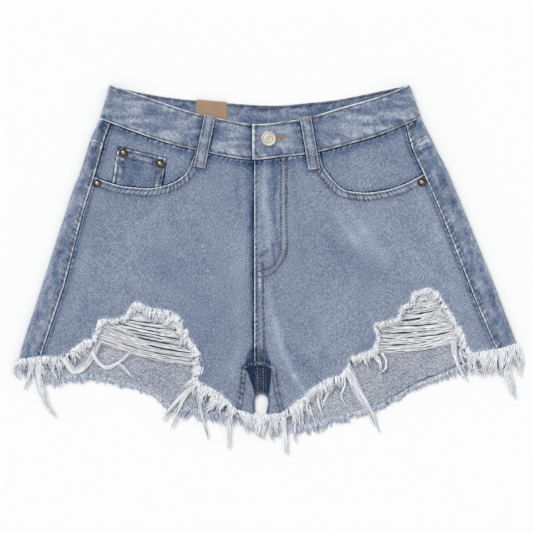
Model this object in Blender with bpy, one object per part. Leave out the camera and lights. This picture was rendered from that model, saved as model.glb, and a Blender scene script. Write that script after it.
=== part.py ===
"""Cut-off denim shorts laid flat, front up, with torn thighs and frayed hems.

All sizes are in millimetres and turned to metres when a mesh is made. +X is the side on the right of
the laid garment, +Y points to the waist and +Z up from the surface that the shorts lie on. The origin is
on that surface, under the middle of the garment.
"""
import math

import bpy
import numpy as np

MM = 0.001

# Cloth and clearances
DENIM = 1.2          # one layer of denim
LINING = 1.0         # pocket facing and coin pocket
BAND = 2.2           # folded waistband
SEAM = 0.2           # each edge stands this far back from a seam line
REST = 0.35          # clearance between layers that lie on each other

# Heights of the upper face above the floor
FRONT_TOP = 5.2      # front panels, in the middle of a leg
FOLD_RISE = 0.8      # how much higher the side folds stand
FOLD_START = 3.0     # in from the silhouette, where the fold has turned level
FOLD_REACH = 32.0    # how far in from a side fold the cloth stays high
FRONT_LEAST = 4.4    # limits that keep the layers apart
FRONT_MOST = 6.2
BAND_TOP = 6.4       # front of the waistband
BAND_OVER = 7.4      # buttonhole end, on top
BAND_UNDER = 4.9     # button end, underneath
FACING_DROP = 1.6    # pocket facing, below the front panel's upper face
COIN_DROP = 0.3      # coin pocket, below the same face

# Lines of the laid garment, as seen from above: columns are x, y
WAIST_FRONT_TOP = [(-177, 207), (-132, 192), (-87, 177), (-53, 169), (-17, 163), (14, 165),
                   (48, 171), (81, 181), (126, 194), (159, 207)]
WAIST_FRONT_FOOT = [(-188, 169), (-154, 156), (-109, 141), (-53, 128), (-17, 123), (14, 126),
                    (48, 130), (81, 138), (126, 151), (172, 170)]
WAIST_BACK_TOP = [(-177, 207), (-154, 201), (-109, 193), (-46, 187), (3, 184), (36, 186),
                  (81, 191), (126, 200), (159, 207)]
WAIST_BACK_FOOT = [(-188, 169), (-154, 160), (-109, 152), (-46, 146), (3, 143), (36, 145),
                   (81, 150), (126, 159), (172, 170)]
CROSS_ROWS = 3            # rows of a gap table that end on the cross seam
CROSS_SEAM = [(-24, -110.5), (-15, -107.6), (-6, -107.6), (5, -111.5)]

CENTRE_FRONT = -15.0      # edge of the fly, and the front seam below it
CENTRE_BACK = -7.2        # back seam, which shows above the gap between the legs
LAP_END = -4.0            # the left front runs on to here, under the fly
LAP_FOOT = -68.0          # y where the lap ends and a plain seam goes on
LAP_LEVEL = -88.0         # y where both fronts are level again
LAP_DROP = DENIM + 0.5

# Each side: folds and seams from the waist down, columns x, y
LEFT = {
    "sign": -1,
    "fold": [(-188, 169), (-198, 147), (-210, 109), (-220, 84), (-251, -12), (-258, -34),
             (-273, -79), (-279, -101)],
    "seam": [(-176, 164), (-183, 144), (-194, 104), (-207, 62), (-226, -12), (-233, -34),
             (-248, -79), (-254, -98)],
    "yoke_fold": 143, "yoke_seam": 138,
    "pocket": [(-194, 104), (-182, 99), (-165, 94), (-148, 92), (-132, 91), (-120, 93),
               (-109, 96), (-98, 102), (-90, 110), (-85, 121), (-80, 134)],
    "facing": [(-197, 91), (-182, 86), (-165, 81), (-148, 79), (-132, 78), (-118, 80),
               (-103, 85), (-90, 93), (-78, 105), (-70, 117), (-66, 127)],
    "front_hem": [(-254, -98), (-232, -99), (-226, -96), (-204, -80), (-195, -79), (-188, -57),
                  (-165, -56), (-157, -51), (-153, -42), (-145, -37), (-132, -45), (-109, -48),
                  (-96, -57), (-98, -66), (-78, -92), (-77, -115), (-80, -125), (-64, -134),
                  (-53, -140), (-38, -155), (-30, -159)],
    "back_hem": [(-276, -102), (-255, -112), (-232, -118), (-202, -117), (-172, -124),
                 (-152, -129), (-129, -137.5), (-107, -154), (-82, -157), (-48, -161), (-14, -164)],
    "inseam": [(-23.5, -111), (-25, -128), (-27, -146), (-30, -159)],
}
RIGHT = {
    "sign": 1,
    "fold": [(172, 170), (182, 150), (191, 131), (204, 105), (252, -12), (260, -33),
             (273, -67), (279, -83)],
    "seam": [(155, 162), (162, 136), (175, 107), (194, 64), (224, -12), (234, -37),
             (250, -75), (257, -90)],
    "yoke_fold": 145, "yoke_seam": 137,
    "pocket": [(175, 107), (166, 102), (154, 96), (137, 90), (121, 87), (110, 86), (98, 87),
               (87, 89), (78, 95), (70, 104), (62, 116), (58, 132)],
    "facing": [(180, 93), (170, 89), (156, 83), (138, 77), (120, 74), (97, 74), (78, 77),
               (66, 85), (57, 98), (49, 112), (44, 125)],
    "front_hem": [(257, -90), (231, -94), (222, -88), (219, -72), (204, -49), (190, -26),
                  (180, -22), (163, -27), (161, -37), (150, -43), (146, -55), (132, -59),
                  (120, -62), (124, -77), (119, -90), (109, -94), (94, -99), (90, -110),
                  (81, -120), (68, -123), (46, -137), (44, -142), (36, -147), (25, -156),
                  (15, -163)],
    "back_hem": [(276, -84), (260, -92), (238, -99), (216, -108), (199, -116), (185, -122),
                 (165, -130), (126, -152), (98, -160), (76, -166), (50, -173), (31, -176),
                 (14, -173), (-2, -164)],
    "inseam": [(4.5, -111.5), (5.5, -125), (9, -143), (15, -163)],
}

# Edge of the gap between the legs: x, y, the way it faces (x, y), and where the cloth that turns up over
# it ends (x, y): the first three on the cross seam, the others on the inseam
LEFT_GAP = [(CENTRE_BACK, -139.4, 0.0, -1.0, CENTRE_BACK, -107.7),
            (-11.0, -140.3, 0.5, -0.87, -16.0, -108.0),
            (-14.0, -144.0, 0.95, -0.31, -23.5, -111.0),
            (-14.6, -149.0, 1.0, 0.0, -24.6, -124.0),
            (-14.3, -157.0, 1.0, 0.0, -26.7, -143.0),
            (-14.0, -164.0, 1.0, 0.0, -30.0, -159.0)]
RIGHT_GAP = [(CENTRE_BACK, -139.4, 0.0, -1.0, CENTRE_BACK, -107.7),
             (-3.5, -140.3, -0.5, -0.87, -1.0, -109.0),
             (0.0, -144.0, -0.95, -0.31, 4.5, -111.5),
             (0.8, -149.0, -1.0, 0.0, 5.4, -124.0),
             (-0.6, -157.0, -1.0, 0.0, 8.7, -142.0),
             (-2.2, -164.0, -1.0, 0.0, 15.0, -163.0)]

# Hollow at the crotch: y, half width
HOLLOW_X = -10.0
HOLLOW_DEPTH = 2.1
HOLLOW_FLAT = 0.7         # share of the half width that is fully deep
HOLLOW_SLOPE = 0.45       # share over which it comes up again
HOLLOW_FADE = 16.0        # length over which it deepens, from the top
HOLLOW = [(-84, 8.0), (-89, 9.5), (-104, 14.5), (-112, 14.5), (-122, 12.5), (-132, 9.5), (-150, 8.0)]

# Soft folds pressed in the fronts: x and y of both ends, half width, height
FOLDS = [(2, -76, 44, -136, 6, 0.7), (-26, -84, -58, -132, 8, 0.5), (-60, 96, -44, -30, 14, 0.4),
         (30, 100, 22, -40, 12, 0.4), (-150, 60, -190, -40, 18, -0.5), (150, 60, 190, 0, 16, -0.5),
         (-120, 20, -60, -70, 20, 0.4), (60, 40, 90, -80, 20, -0.4), (120, 60, 100, -60, 16, 0.4)]

# How finely the panels are divided
FRONT_ROWS = [122, 102, 80, 56, 30, 4, -22, -46, LAP_FOOT, LAP_LEVEL, -107]   # y at the centre front
CROSS_STOPS = (-6.0, -1.0)                                                    # x along the cross seam
INSEAM_ROWS = [-111.5, -126, -144]                                            # y along the inseam
HEM_STEP = 14.0                                                               # longest stretch of front hem
FACING_COLUMNS, FACING_ROWS = 12, 5
COIN_COLUMNS, COIN_ROWS = 7, 4
BACK_ROWS = [0.0, 0.1, 0.22, 0.36, 0.5, 0.64, 0.78, 0.9]                      # share of the centre back
BACK_COLUMNS = 13
YOKE_ROWS = 3
FLAP_STOPS = (0.0, 0.35, 0.7)                                                 # side seam to fold
TURN_STOPS = (0.25, 0.5, 0.75, 1.0)                                           # gap's edge to inseam
FOLD_ANGLES = 6

# Waistband: columns x along each stretch between the folds
UNDER_END = 22.0
UNDER_DIP = (-27.0, -16.0)
OVER_DROP = (24.0, 36.0)
UNDER_COLUMNS = [UNDER_END, 2.0, -15.5, -21.0, UNDER_DIP[0], -50.0, -80.0, -110.0, -140.0]
OVER_COLUMNS = [130.0, 100.0, 70.0, 50.0, OVER_DROP[1], 30.0, OVER_DROP[0], 4.0, CENTRE_FRONT]
BAND_BACK_COLUMNS = 14
BAND_ROWS = (0.0, 0.5, 1.0)

# Yoke seam
YOKE_CENTRE = 90.0

# Coin pocket: x and y of its upper corners, x of its lower ones, and how far it stops above the mouth
COIN_TOP = ((-167.4, 137.4), (-113.7, 124.5))
COIN_FOOT = (-173.8, -119.2)
COIN_CLEAR = 0.9

# Belt loops: x and y of the middle of the top and foot
LOOP_WIDTH = 12.5
LOOP_STEP = (2.5, 7.0)    # below the waistband's foot, where a loop starts and ends its way down
LOOP_LIFT = 0.15          # more clearance over the curved front panel
LOOP_LEFT = ((-64.4, 172.0), (-76.3, 114.5))
LOOP_RIGHT = ((42.4, 170.5), (52.4, 112.5))

# Leather patch on the inside of the back waistband: x of both sides, y of its foot, rise over the edge
PATCH_SIDES = (-79.3, -45.8)
PATCH_FOOT = 160.0
PATCH_RISE = 1.0

# Metal trims, turned: columns are radius and height, from the foot up
BUTTON_AT = (1.3, 146.3)
BUTTON = [(0, 0), (8.0, 0), (8.5, 0.7), (8.5, 1.6), (7.6, 2.3), (6.4, 1.7), (4.8, 1.7), (3.9, 2.1),
          (0, 2.3)]
RIVET = [(0, 0), (4.6, 0), (4.7, 0.5), (3.4, 0.9), (2.4, 0.7), (1.4, 1.4), (0, 1.6)]
RIVETS = [("rivet_side_left", -190.6, 96.7, 0.0),       # name, x, y, depth below the front panels
          ("rivet_side_right", 172.6, 98.0, 0.0),
          ("rivet_coin_outer", -161.5, 131.1, COIN_DROP),
          ("rivet_coin_inner", -120.4, 119.0, COIN_DROP)]

# Fringe: a narrow strip just clear of the cloth's edge, with tapered locks
STRIP_GAP = 0.45
STRIP_WIDE = 2.0
STRIP_THICK = 0.9
STRIP_DROP = 0.1          # below the front panel's upper face
LOCK_THICK = 0.6
LOCK_LEAST = 3.0          # shortest stretch of strip that holds a lock
LOCK_SIDES = (0.15, 0.85) # where a lock's root starts and ends in its share of the strip
LOCK_TIP = 0.3            # width of the tip as a share of the root's
LOCK_SPREAD = 0.2         # how much the lengths differ, as a share of the table's
LOCK_BESIDE = 0.55        # share of its length that a lock has beside a long strand
LOCK_SWAY = 0.15
LOCK_SLOPE = 0.22         # how fast a lock on the front sinks
FRONT_FRINGE = 1.7        # lowest a lock on the front reaches, over the back panels
RIP_FRINGE = 3.0          # the same for locks over the threads of a rip
BACK_FRINGE_TOP = 1.0

# Torn edges of the fronts: name, how far the locks hang down, lowest underside, path, long strands.
# A path's row is x, y and the length of the locks there. A strand's row is its root (x, y), two more
# points (x, y) and its width.
FRONT_FRINGES = [
    ("hem_fringe_left_outer", 0.8, FRONT_FRINGE,
     [(-278, -101.5, 17), (-254, -98.4, 18), (-232, -99, 15), (-226, -96, 12), (-204, -80, 12),
      (-195.6, -79.2, 9)],
     [(-277, -103, -283.4, -110, -280, -119, 6.0), (-267, -102, -267, -116, -274, -134, 6.0),
      (-257, -101, -251, -141, -238, -164, 8.0)]),
    ("rip_fringe_left", 0.5, RIP_FRINGE,
     [(-194.6, -78, 7), (-188, -57, 6), (-165, -56, 6), (-157, -51, 6), (-153, -42, 6), (-145, -37, 8),
      (-132, -45, 8), (-109, -48, 9), (-96, -57, 7), (-98, -66, 7), (-78, -92, 7), (-77, -113.5, 7)],
     []),
    ("hem_fringe_left_inner", 1.2, FRONT_FRINGE,
     [(-77.2, -115.6, 10), (-80, -125, 20), (-64, -134, 26), (-53, -140, 26), (-38, -155, 22),
      (-30, -159.2, 21), (-15, -164, 21)],
     [(-80, -122, -100, -146, -110, -180, 4.0), (-70, -132, -72, -162, -66, -190, 4.0),
      (-44, -151, -44, -180, -44, -201, 6.0), (-17, -164, -13, -173, -11, -187, 6.0)]),
    ("hem_fringe_right_inner", 1.4, FRONT_FRINGE,
     [(-2.5, -164.4, 22), (15, -163.2, 22), (25, -156, 24), (36, -147, 26), (44, -142, 26),
      (46, -137, 24), (68, -123, 16), (81, -120, 13), (90, -110, 10), (92, -104.5, 8)],
     [(-1, -165, -4.5, -174, -5.5, -188, 5.0), (4, -166, 3, -180, 3, -193, 6.0),
      (18, -164, 19, -186, 20, -208, 8.0), (31, -153, 31, -176, 31, -194, 4.0),
      (90, -108, 104, -140, 125, -183, 6.0)]),
    ("rip_fringe_right", 0.5, RIP_FRINGE,
     [(94.4, -98.8, 13), (109, -94, 13), (119, -90, 10), (124, -77, 6), (120, -62, 6), (132, -59, 7),
      (146, -55, 7), (150, -43, 6), (161, -37, 6), (163, -27, 6), (180, -22, 7), (190, -26, 6),
      (204, -49, 7), (219, -72, 7), (221.8, -86.6, 9)],
     []),
    ("hem_fringe_right_outer", 0.8, FRONT_FRINGE,
     [(222.6, -88.6, 18), (231, -94.2, 24), (257, -90.4, 28), (279, -83.6, 28)],
     [(226, -92, 218, -108, 225, -126, 4.0), (265, -90, 270, -118, 277, -143, 8.0),
      (279, -85, 283.6, -99, 281, -118, 6.0)]),
]
FRONT_PITCH = 6.0

# Worn hems of the backs: x and length of the locks there, and long strands of the left one
BACK_LOCKS = [(-245, 12), (-205, 7), (-165, 5), (-150, 3), (-115, 3), (-80, 10), (60, 9), (120, 6),
              (150, 3), (185, 3), (210, 9), (260, 14)]
BACK_STRANDS = [(-168, -127, -165, -137, -160, -147, 4.0)]
BACK_PITCH = 8.0
BACK_PULL = 0.8

# Weft threads left across the tears: name, left edge, right edge (x, y), sag, widths of thread and slit
THREAD_TOP = 2.6
THREAD_THICK = 0.9
THREAD_TUCK = 3.0         # how far the threads run on under the cloth
THREAD_STOPS = (0.0, 0.2, 0.4, 0.6, 0.8, 1.0)
RIP_THREADS = [
    ("rip_threads_left", [(-189, -60), (-191, -70), (-194, -80)],
     [(-98, -60), (-97, -68), (-78, -93), (-77, -110)], 6.0,
     [3, 1.2, 3, 1.6, 3.4, 1.2, 3, 2.4, 3.6, 1.6, 3, 2.2, 3, 1.6, 3.2]),
    ("rip_threads_right", [(163, -31), (150, -46), (146, -56), (121, -64), (123, -77), (120, -92)],
     [(190, -29), (204, -50), (219, -73), (220, -82)], 4.0,
     [3, 2, 3, 1.6, 3, 4.6, 3, 1.6, 3.4, 2.4, 3, 2, 3, 1.4, 3]),
]

UP = np.array([0.0, 0.0, 1.0])

BLUE = (0.22, 0.29, 0.40)
DARK_BLUE = (0.13, 0.18, 0.28)
WHITE = (0.75, 0.76, 0.78)
TAN = (0.42, 0.27, 0.17)
BRASS = (0.22, 0.16, 0.08)
SILVER = (0.62, 0.60, 0.56)


def smoothstep(value):
    value = np.clip(value, 0.0, 1.0)
    return value * value * (3.0 - 2.0 * value)


class Curve:
    """A smooth line through points, read by length, by x or by y."""

    def __init__(self, points, smooth=True):
        points = np.array(points, float)
        if smooth:
            padded = np.vstack([2 * points[0] - points[1], points, 2 * points[-1] - points[-2]])
            dense = []
            for a, b, c, d in zip(padded, padded[1:], padded[2:], padded[3:]):
                for t in np.linspace(0.0, 1.0, 8, endpoint=False):
                    dense.append(0.5 * (2 * b + (c - a) * t + (2 * a - 5 * b + 4 * c - d) * t ** 2
                                        + (3 * b - a - 3 * c + d) * t ** 3))
            points = np.array(dense + [points[-1]])
        self.points = points
        steps = np.hypot(*np.diff(points, axis=0).T)
        self.along = np.concatenate([[0.0], np.cumsum(steps)])

    def at(self, fraction):
        where = np.asarray(fraction) * self.along[-1]
        return np.stack([np.interp(where, self.along, self.points[:, i]) for i in (0, 1)], axis=-1)

    def y_at(self, x):
        order = np.argsort(self.points[:, 0])
        return np.interp(x, self.points[order, 0], self.points[order, 1])

    def x_at(self, y):
        order = np.argsort(self.points[:, 1])
        return np.interp(y, self.points[order, 1], self.points[order, 0])


front_top = Curve(WAIST_FRONT_TOP)
front_foot = Curve(WAIST_FRONT_FOOT)
back_top = Curve(WAIST_BACK_TOP)
back_foot = Curve(WAIST_BACK_FOOT)
cross_seam = Curve(CROSS_SEAM)
left_fold = Curve(LEFT["fold"])
right_fold = Curve(RIGHT["fold"])


def front_height(x, y):
    """Height of the upper face of the front layer."""
    side = np.minimum(x - left_fold.x_at(y), right_fold.x_at(y) - x)
    height = FRONT_TOP + FOLD_RISE * np.exp(-(np.maximum(side - FOLD_START, 0.0) / FOLD_REACH) ** 2)
    for x0, y0, x1, y1, width, rise in FOLDS:
        length = math.hypot(x1 - x0, y1 - y0)
        along = ((x - x0) * (x1 - x0) + (y - y0) * (y1 - y0)) / length
        beyond = np.maximum(np.maximum(-along, along - length), 0.0)
        across = ((x - x0) * (y1 - y0) - (y - y0) * (x1 - x0)) / length
        height = height + rise * np.exp(-(across / width) ** 2 - (beyond / (1.5 * width)) ** 2)
    ys, widths = np.array(HOLLOW[::-1]).T
    half = np.interp(y, ys, widths)
    inside = 1.0 - smoothstep((np.abs(x - HOLLOW_X) / half - HOLLOW_FLAT) / HOLLOW_SLOPE)
    fade = smoothstep((HOLLOW[0][0] - y) / HOLLOW_FADE)
    return np.clip(height, FRONT_LEAST, FRONT_MOST) - HOLLOW_DEPTH * inside * fade


def material(name, colour, roughness, metallic):
    made = bpy.data.materials.new(name)
    made.use_nodes = True
    shader = made.node_tree.nodes["Principled BSDF"]
    shader.inputs["Base Color"].default_value = (*colour, 1.0)
    shader.inputs["Roughness"].default_value = roughness
    shader.inputs["Metallic"].default_value = metallic
    return made


def add_object(name, points, faces, colour, roughness=0.9, metallic=0.0):
    mesh = bpy.data.meshes.new(name)
    mesh.from_pydata([tuple(float(v) * MM for v in p) for p in points], [], faces)
    mesh.update()
    mesh.materials.append(material(name, colour, roughness, metallic))
    bpy.context.scene.collection.objects.link(bpy.data.objects.new(name, mesh))


def slab(name, outer, inner, cells, colour):
    """A wall between two grids of points, with a face pair for each cell that is set."""
    rows, cols = cells.shape
    index = {}
    points = []
    faces = []

    def vertex(layer, r, c):
        key = (layer, r, c)
        if key not in index:
            index[key] = len(points)
            points.append((outer, inner)[layer][r][c])
        return index[key]

    used = np.argwhere(cells)
    r, c = used[len(used) // 2]
    corner = outer[r][c]
    across = np.cross(outer[r][c + 1] - corner, outer[r + 1][c] - corner)
    flipped = np.dot(across, corner - inner[r][c]) < 0

    def face(*corners):
        faces.append(corners[::-1] if flipped else corners)

    for r, c in used:
        ring = [(r, c), (r, c + 1), (r + 1, c + 1), (r + 1, c)]
        face(*[vertex(0, *at) for at in ring])
        face(*[vertex(1, *at) for at in ring[::-1]])
        beside = [(r - 1, c), (r, c + 1), (r + 1, c), (r, c - 1)]
        for side, (nr, nc) in enumerate(beside):
            if 0 <= nr < rows and 0 <= nc < cols and cells[nr, nc]:
                continue
            a, b = ring[side], ring[(side + 1) % 4]
            face(vertex(0, *b), vertex(0, *a), vertex(1, *a), vertex(1, *b))
    add_object(name, points, faces, colour)


def coons(top, bottom, left, right, across, down):
    """Points between four edges: top and bottom run with across, left and right with down."""
    u = np.asarray(across)[None, :, None]
    v = np.asarray(down)[:, None, None]
    top, bottom = np.asarray(top)[None], np.asarray(bottom)[None]
    left, right = np.asarray(left)[:, None], np.asarray(right)[:, None]
    corners = ((1 - u) * (1 - v) * top[:, :1] + u * (1 - v) * top[:, -1:]
               + (1 - u) * v * bottom[:, :1] + u * v * bottom[:, -1:])
    return (1 - v) * top + v * bottom + (1 - u) * left + u * right - corners


def raised(plan, upper, thickness):
    """Upper and lower points of a layer, from its plan points and the heights of its upper face."""
    high = np.concatenate([plan, upper[..., None]], axis=-1)
    low = np.concatenate([plan, (upper - thickness)[..., None]], axis=-1)
    return high, low


def full(grid):
    return np.ones((grid.shape[0] - 1, grid.shape[1] - 1), bool)


def divided(points, longest):
    """The same line with its long stretches divided."""
    out = [points[0]]
    for a, b in zip(points, points[1:]):
        parts = max(1, math.ceil(math.dist(a, b) / longest))
        out += [tuple(np.add(a, np.subtract(b, a) * i / parts)) for i in range(1, parts + 1)]
    return np.array(out, float)


def front_panel(name, side, centre_x, lap):
    """A front: pocket mouth and waist on top, side seam outside, fly and inseam inside, torn hem below.

    Each corner of the hem has a column of points. The left front has one more column, for the lap under
    the fly."""
    sign = side["sign"]
    hem = divided(side["front_hem"], HEM_STEP)
    run = np.concatenate([[0.0], np.cumsum(np.hypot(*np.diff(hem, axis=0).T))])
    wide = (hem[:, 0] - hem[0, 0]) / (hem[-1, 0] - hem[0, 0])
    across = 0.6 * wide + 0.4 * run / run[-1]
    across = (across - across[0]) / (across[-1] - across[0])
    mouth = Curve(side["pocket"][:-1] + [(side["pocket"][-1][0],
                                          front_foot.y_at(side["pocket"][-1][0]) - SEAM)])
    corner = int(np.argmin(np.abs(hem[:, 0] - side["pocket"][-1][0])))
    waist_x = np.interp(across[corner:], [across[corner], 1.0], [side["pocket"][-1][0], centre_x])
    top = np.vstack([mouth.at(across[:corner] / across[corner]),
                     np.stack([waist_x, front_foot.y_at(waist_x) - SEAM], axis=-1)])
    top[0] += [-sign * SEAM, 0.0]

    inseam = Curve(side["inseam"])
    right = []
    for y in FRONT_ROWS:
        right.append((centre_x, cross_seam.y_at(centre_x) + SEAM if y == FRONT_ROWS[-1] else y))
    right[0] = tuple(top[-1])
    if not lap:
        right += [(x, cross_seam.y_at(x) + SEAM) for x in CROSS_STOPS]
    for y in INSEAM_ROWS:
        x = inseam.x_at(y)
        right.append((x + sign * SEAM, cross_seam.y_at(x) + SEAM if y == INSEAM_ROWS[0] else y))
    hem[-1] += [sign * SEAM, 0.0]
    right.append(tuple(hem[-1]))
    right = np.array(right)

    down = (right[0, 1] - right[:, 1]) / (right[0, 1] - right[-1, 1])
    seam = Curve(side["seam"])
    seam_y = side["pocket"][0][1] + (hem[0, 1] - side["pocket"][0][1]) * down
    left = np.stack([seam.x_at(seam_y) - sign * SEAM, seam_y], axis=-1)
    top[0] = left[0]
    hem[0] = left[-1]
    plan = coons(top, hem, left, right, across, down)
    height = front_height(plan[..., 0], plan[..., 1])
    cells = full(plan)
    if lap:
        height[:, -1] -= LAP_DROP * smoothstep((right[:, 1] - LAP_LEVEL) / (LAP_FOOT - LAP_LEVEL))
        far = plan[:, -1:] + [LAP_END - centre_x, 0.0]
        plan = np.concatenate([plan, far], axis=1)
        far_height = front_height(far[..., 0], far[..., 1]) - LAP_DROP
        height = np.concatenate([height, far_height], axis=1)
        lapped = right[1:, 1:] >= LAP_FOOT
        cells = np.concatenate([cells, lapped], axis=1)
    slab(name, *raised(plan, height, DENIM), cells, BLUE)


def pocket_facing(name, side):
    """Denim under the pocket mouth, from the waist to a little way inside the mouth."""
    sign = side["sign"]
    seam = Curve(side["seam"])
    lower = Curve(side["facing"])
    across = np.linspace(0.0, 1.0, FACING_COLUMNS)
    down = np.linspace(0.0, 1.0, FACING_ROWS)
    bottom = lower.at(across)
    seam_y = np.linspace(side["seam"][0][1] - 2.0, bottom[0, 1], len(down))
    left = np.stack([seam.x_at(seam_y) - sign * 2 * SEAM, seam_y], axis=-1)
    bottom[0] = left[-1]
    top_x = np.linspace(left[0, 0], bottom[-1, 0], len(across))
    top = np.stack([top_x, front_foot.y_at(top_x) - SEAM], axis=-1)
    left[0] = top[0]
    right = np.linspace(top[-1], bottom[-1], len(down))
    plan = coons(top, bottom, left, right, across, down)
    height = front_height(plan[..., 0], plan[..., 1]) - FACING_DROP
    slab(name, *raised(plan, height, LINING), full(plan), BLUE)


def coin_pocket(name):
    """Small patch pocket on the left facing, down to the pocket mouth."""
    across = np.linspace(0.0, 1.0, COIN_COLUMNS)
    down = np.linspace(0.0, 1.0, COIN_ROWS)
    top = np.linspace(*COIN_TOP, len(across))
    foot_x = np.linspace(*COIN_FOOT, len(across))
    bottom = np.stack([foot_x, Curve(LEFT["pocket"]).y_at(foot_x) + COIN_CLEAR], axis=-1)
    left = np.linspace(top[0], bottom[0], len(down))
    right = np.linspace(top[-1], bottom[-1], len(down))
    plan = coons(top, bottom, left, right, across, down)
    height = front_height(plan[..., 0], plan[..., 1]) - COIN_DROP
    slab(name, *raised(plan, height, LINING), full(plan), DARK_BLUE)


def turned_edge(point, facing, radius, angles):
    """Outer points and inward directions round an edge that faces one way."""
    facing = np.array([facing[0], facing[1], 0.0]) / math.hypot(*facing)
    axis = np.array([point[0], point[1], 0.0]) - facing * radius + UP * radius
    inward = [-facing * math.sin(a) + UP * math.cos(a) for a in angles]
    return [axis - n * radius for n in inward], inward


def edge_row(first, last, y_at):
    """Points along a panel's upper or lower edge, from first to last, at the heights that y_at gives."""
    x = np.linspace(first[0], last[0], BACK_COLUMNS)
    row = np.stack([x, y_at(x)], axis=-1)
    row[0], row[-1] = first, last
    return row


def back_layer(name, side, top_line, fold_y, seam_y, back_edge, hem, gap_rows, rows):
    """A back piece: on top from the side seam to the fold, round it, and flat on the floor to the centre.

    Its last rows may turn up round the gap between the legs and end on the inseam. Its lower edge on the
    floor is returned."""
    sign = side["sign"]
    fy = fold_y[0] + (fold_y[1] - fold_y[0]) * rows
    sy = seam_y[0] + (seam_y[1] - seam_y[0]) * rows
    fx = Curve(side["fold"]).x_at(fy)
    radius = front_height(fx - sign * FOLD_START, fy) / 2.0
    tangent = np.stack([fx - sign * radius, fy], axis=-1)
    start = np.stack([Curve(side["seam"]).x_at(sy) + sign * SEAM, sy], axis=-1)
    top = edge_row(tangent[0], back_edge[0], top_line)
    bottom = edge_row(tangent[-1], back_edge[-1], hem)
    flat = coons(top, bottom, tangent, back_edge, np.linspace(0.0, 1.0, BACK_COLUMNS), rows)

    turn = np.linspace(math.pi, 0.0, FOLD_ANGLES)
    turn_columns = FOLD_ANGLES - 1 + len(TURN_STOPS) if gap_rows else 0
    first_gap = len(rows) - len(gap_rows)
    outer, inward = [], []
    for r in range(len(rows)):
        flap = [start[r] + (tangent[r] - start[r]) * stop for stop in FLAP_STOPS]
        line = [np.array([*p, front_height(*p)]) for p in flap]
        way = [-UP] * len(flap)
        points, ways = turned_edge((fx[r], fy[r]), (sign, 0.0), radius[r], turn[:-1])
        line += points + [np.array([*p, 0.0]) for p in flat[r]]
        way += ways + [UP] * BACK_COLUMNS
        if turn_columns and r >= first_gap:
            x, y, facing_x, facing_y, end_x, end_y = gap_rows[r - first_gap]
            points, ways = turned_edge((x, y), (facing_x, facing_y), front_height(x, y) / 2.0,
                                       turn[::-1][1:])
            from_edge = points[-1][:2]
            flap = [from_edge + (np.array([end_x, end_y]) - from_edge) * stop for stop in TURN_STOPS]
            line += points + [np.array([*p, front_height(*p)]) for p in flap]
            way += ways + [-UP] * len(flap)
        else:
            line += [line[-1]] * turn_columns
            way += [way[-1]] * turn_columns
        outer.append(line)
        inward.append(way)
    outer, inward = np.array(outer), np.array(inward)
    cells = full(outer)
    if turn_columns:
        cells[:first_gap, -turn_columns:] = False
    slab(name, outer, outer + inward * DENIM, cells, BLUE)
    return bottom


def yoke(name, side):
    """The shaped piece between the waistband and the back panel."""
    sign = side["sign"]
    centre = CENTRE_BACK + sign * SEAM
    rows = np.linspace(0.0, 1.0, YOKE_ROWS)
    edge = np.linspace((centre, back_foot.y_at(centre) - SEAM), (centre, YOKE_CENTRE + SEAM), len(rows))
    fold_x = side["fold"][0][0] - sign * BAND_TOP / 2.0
    waist_fold = min(front_foot.y_at(fold_x), back_foot.y_at(fold_x)) - 2 * SEAM
    waist_seam = front_foot.y_at(side["seam"][0][0]) - 2 * SEAM
    back_layer(name, side, lambda x: back_foot.y_at(x) - SEAM,
               (waist_fold, side["yoke_fold"] + SEAM), (waist_seam, side["yoke_seam"] + SEAM),
               edge, yoke_line(side, SEAM), [], rows)


def yoke_line(side, lift):
    """The yoke seam on the underside, a straight run from the fold to the centre back."""
    fold_x = Curve(side["fold"]).x_at(side["yoke_fold"])
    xs = [fold_x, CENTRE_BACK]
    ys = [side["yoke_fold"], YOKE_CENTRE]
    order = np.argsort(xs)
    return lambda x: np.interp(x, np.array(xs)[order], np.array(ys)[order]) + lift


def back_panel(name, side, gap):
    """A back, from the yoke seam to the hem, turned up round the gap between the legs."""
    sign = side["sign"]
    centre = CENTRE_BACK + sign * SEAM
    gap_rows = []
    edge = []
    for i, (x, y, facing_x, facing_y, end_x, end_y) in enumerate(gap):
        if i == 0:
            x, end_x = centre, centre
        if i < CROSS_ROWS:
            end_y = cross_seam.y_at(end_x) - 1.5 * SEAM
        if i > 1:
            end_x = end_x - sign * SEAM
        gap_rows.append((x, y, facing_x, facing_y, end_x, end_y))
        radius = front_height(x, y) / 2.0
        edge.append((x - facing_x * radius, y - facing_y * radius))
    start = YOKE_CENTRE - SEAM
    above = [(centre, start + (edge[0][1] - start) * share) for share in BACK_ROWS]
    edge = np.array(above + edge)
    rows = (edge[0, 1] - edge[:, 1]) / (edge[0, 1] - edge[-1, 1])
    hem = Curve(side["back_hem"])
    return back_layer(name, side, yoke_line(side, -SEAM),
                      (side["yoke_fold"] - SEAM, side["fold"][-1][1]),
                      (side["yoke_seam"] - SEAM, side["seam"][-1][1]),
                      edge, hem.y_at, gap_rows, rows)


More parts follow.
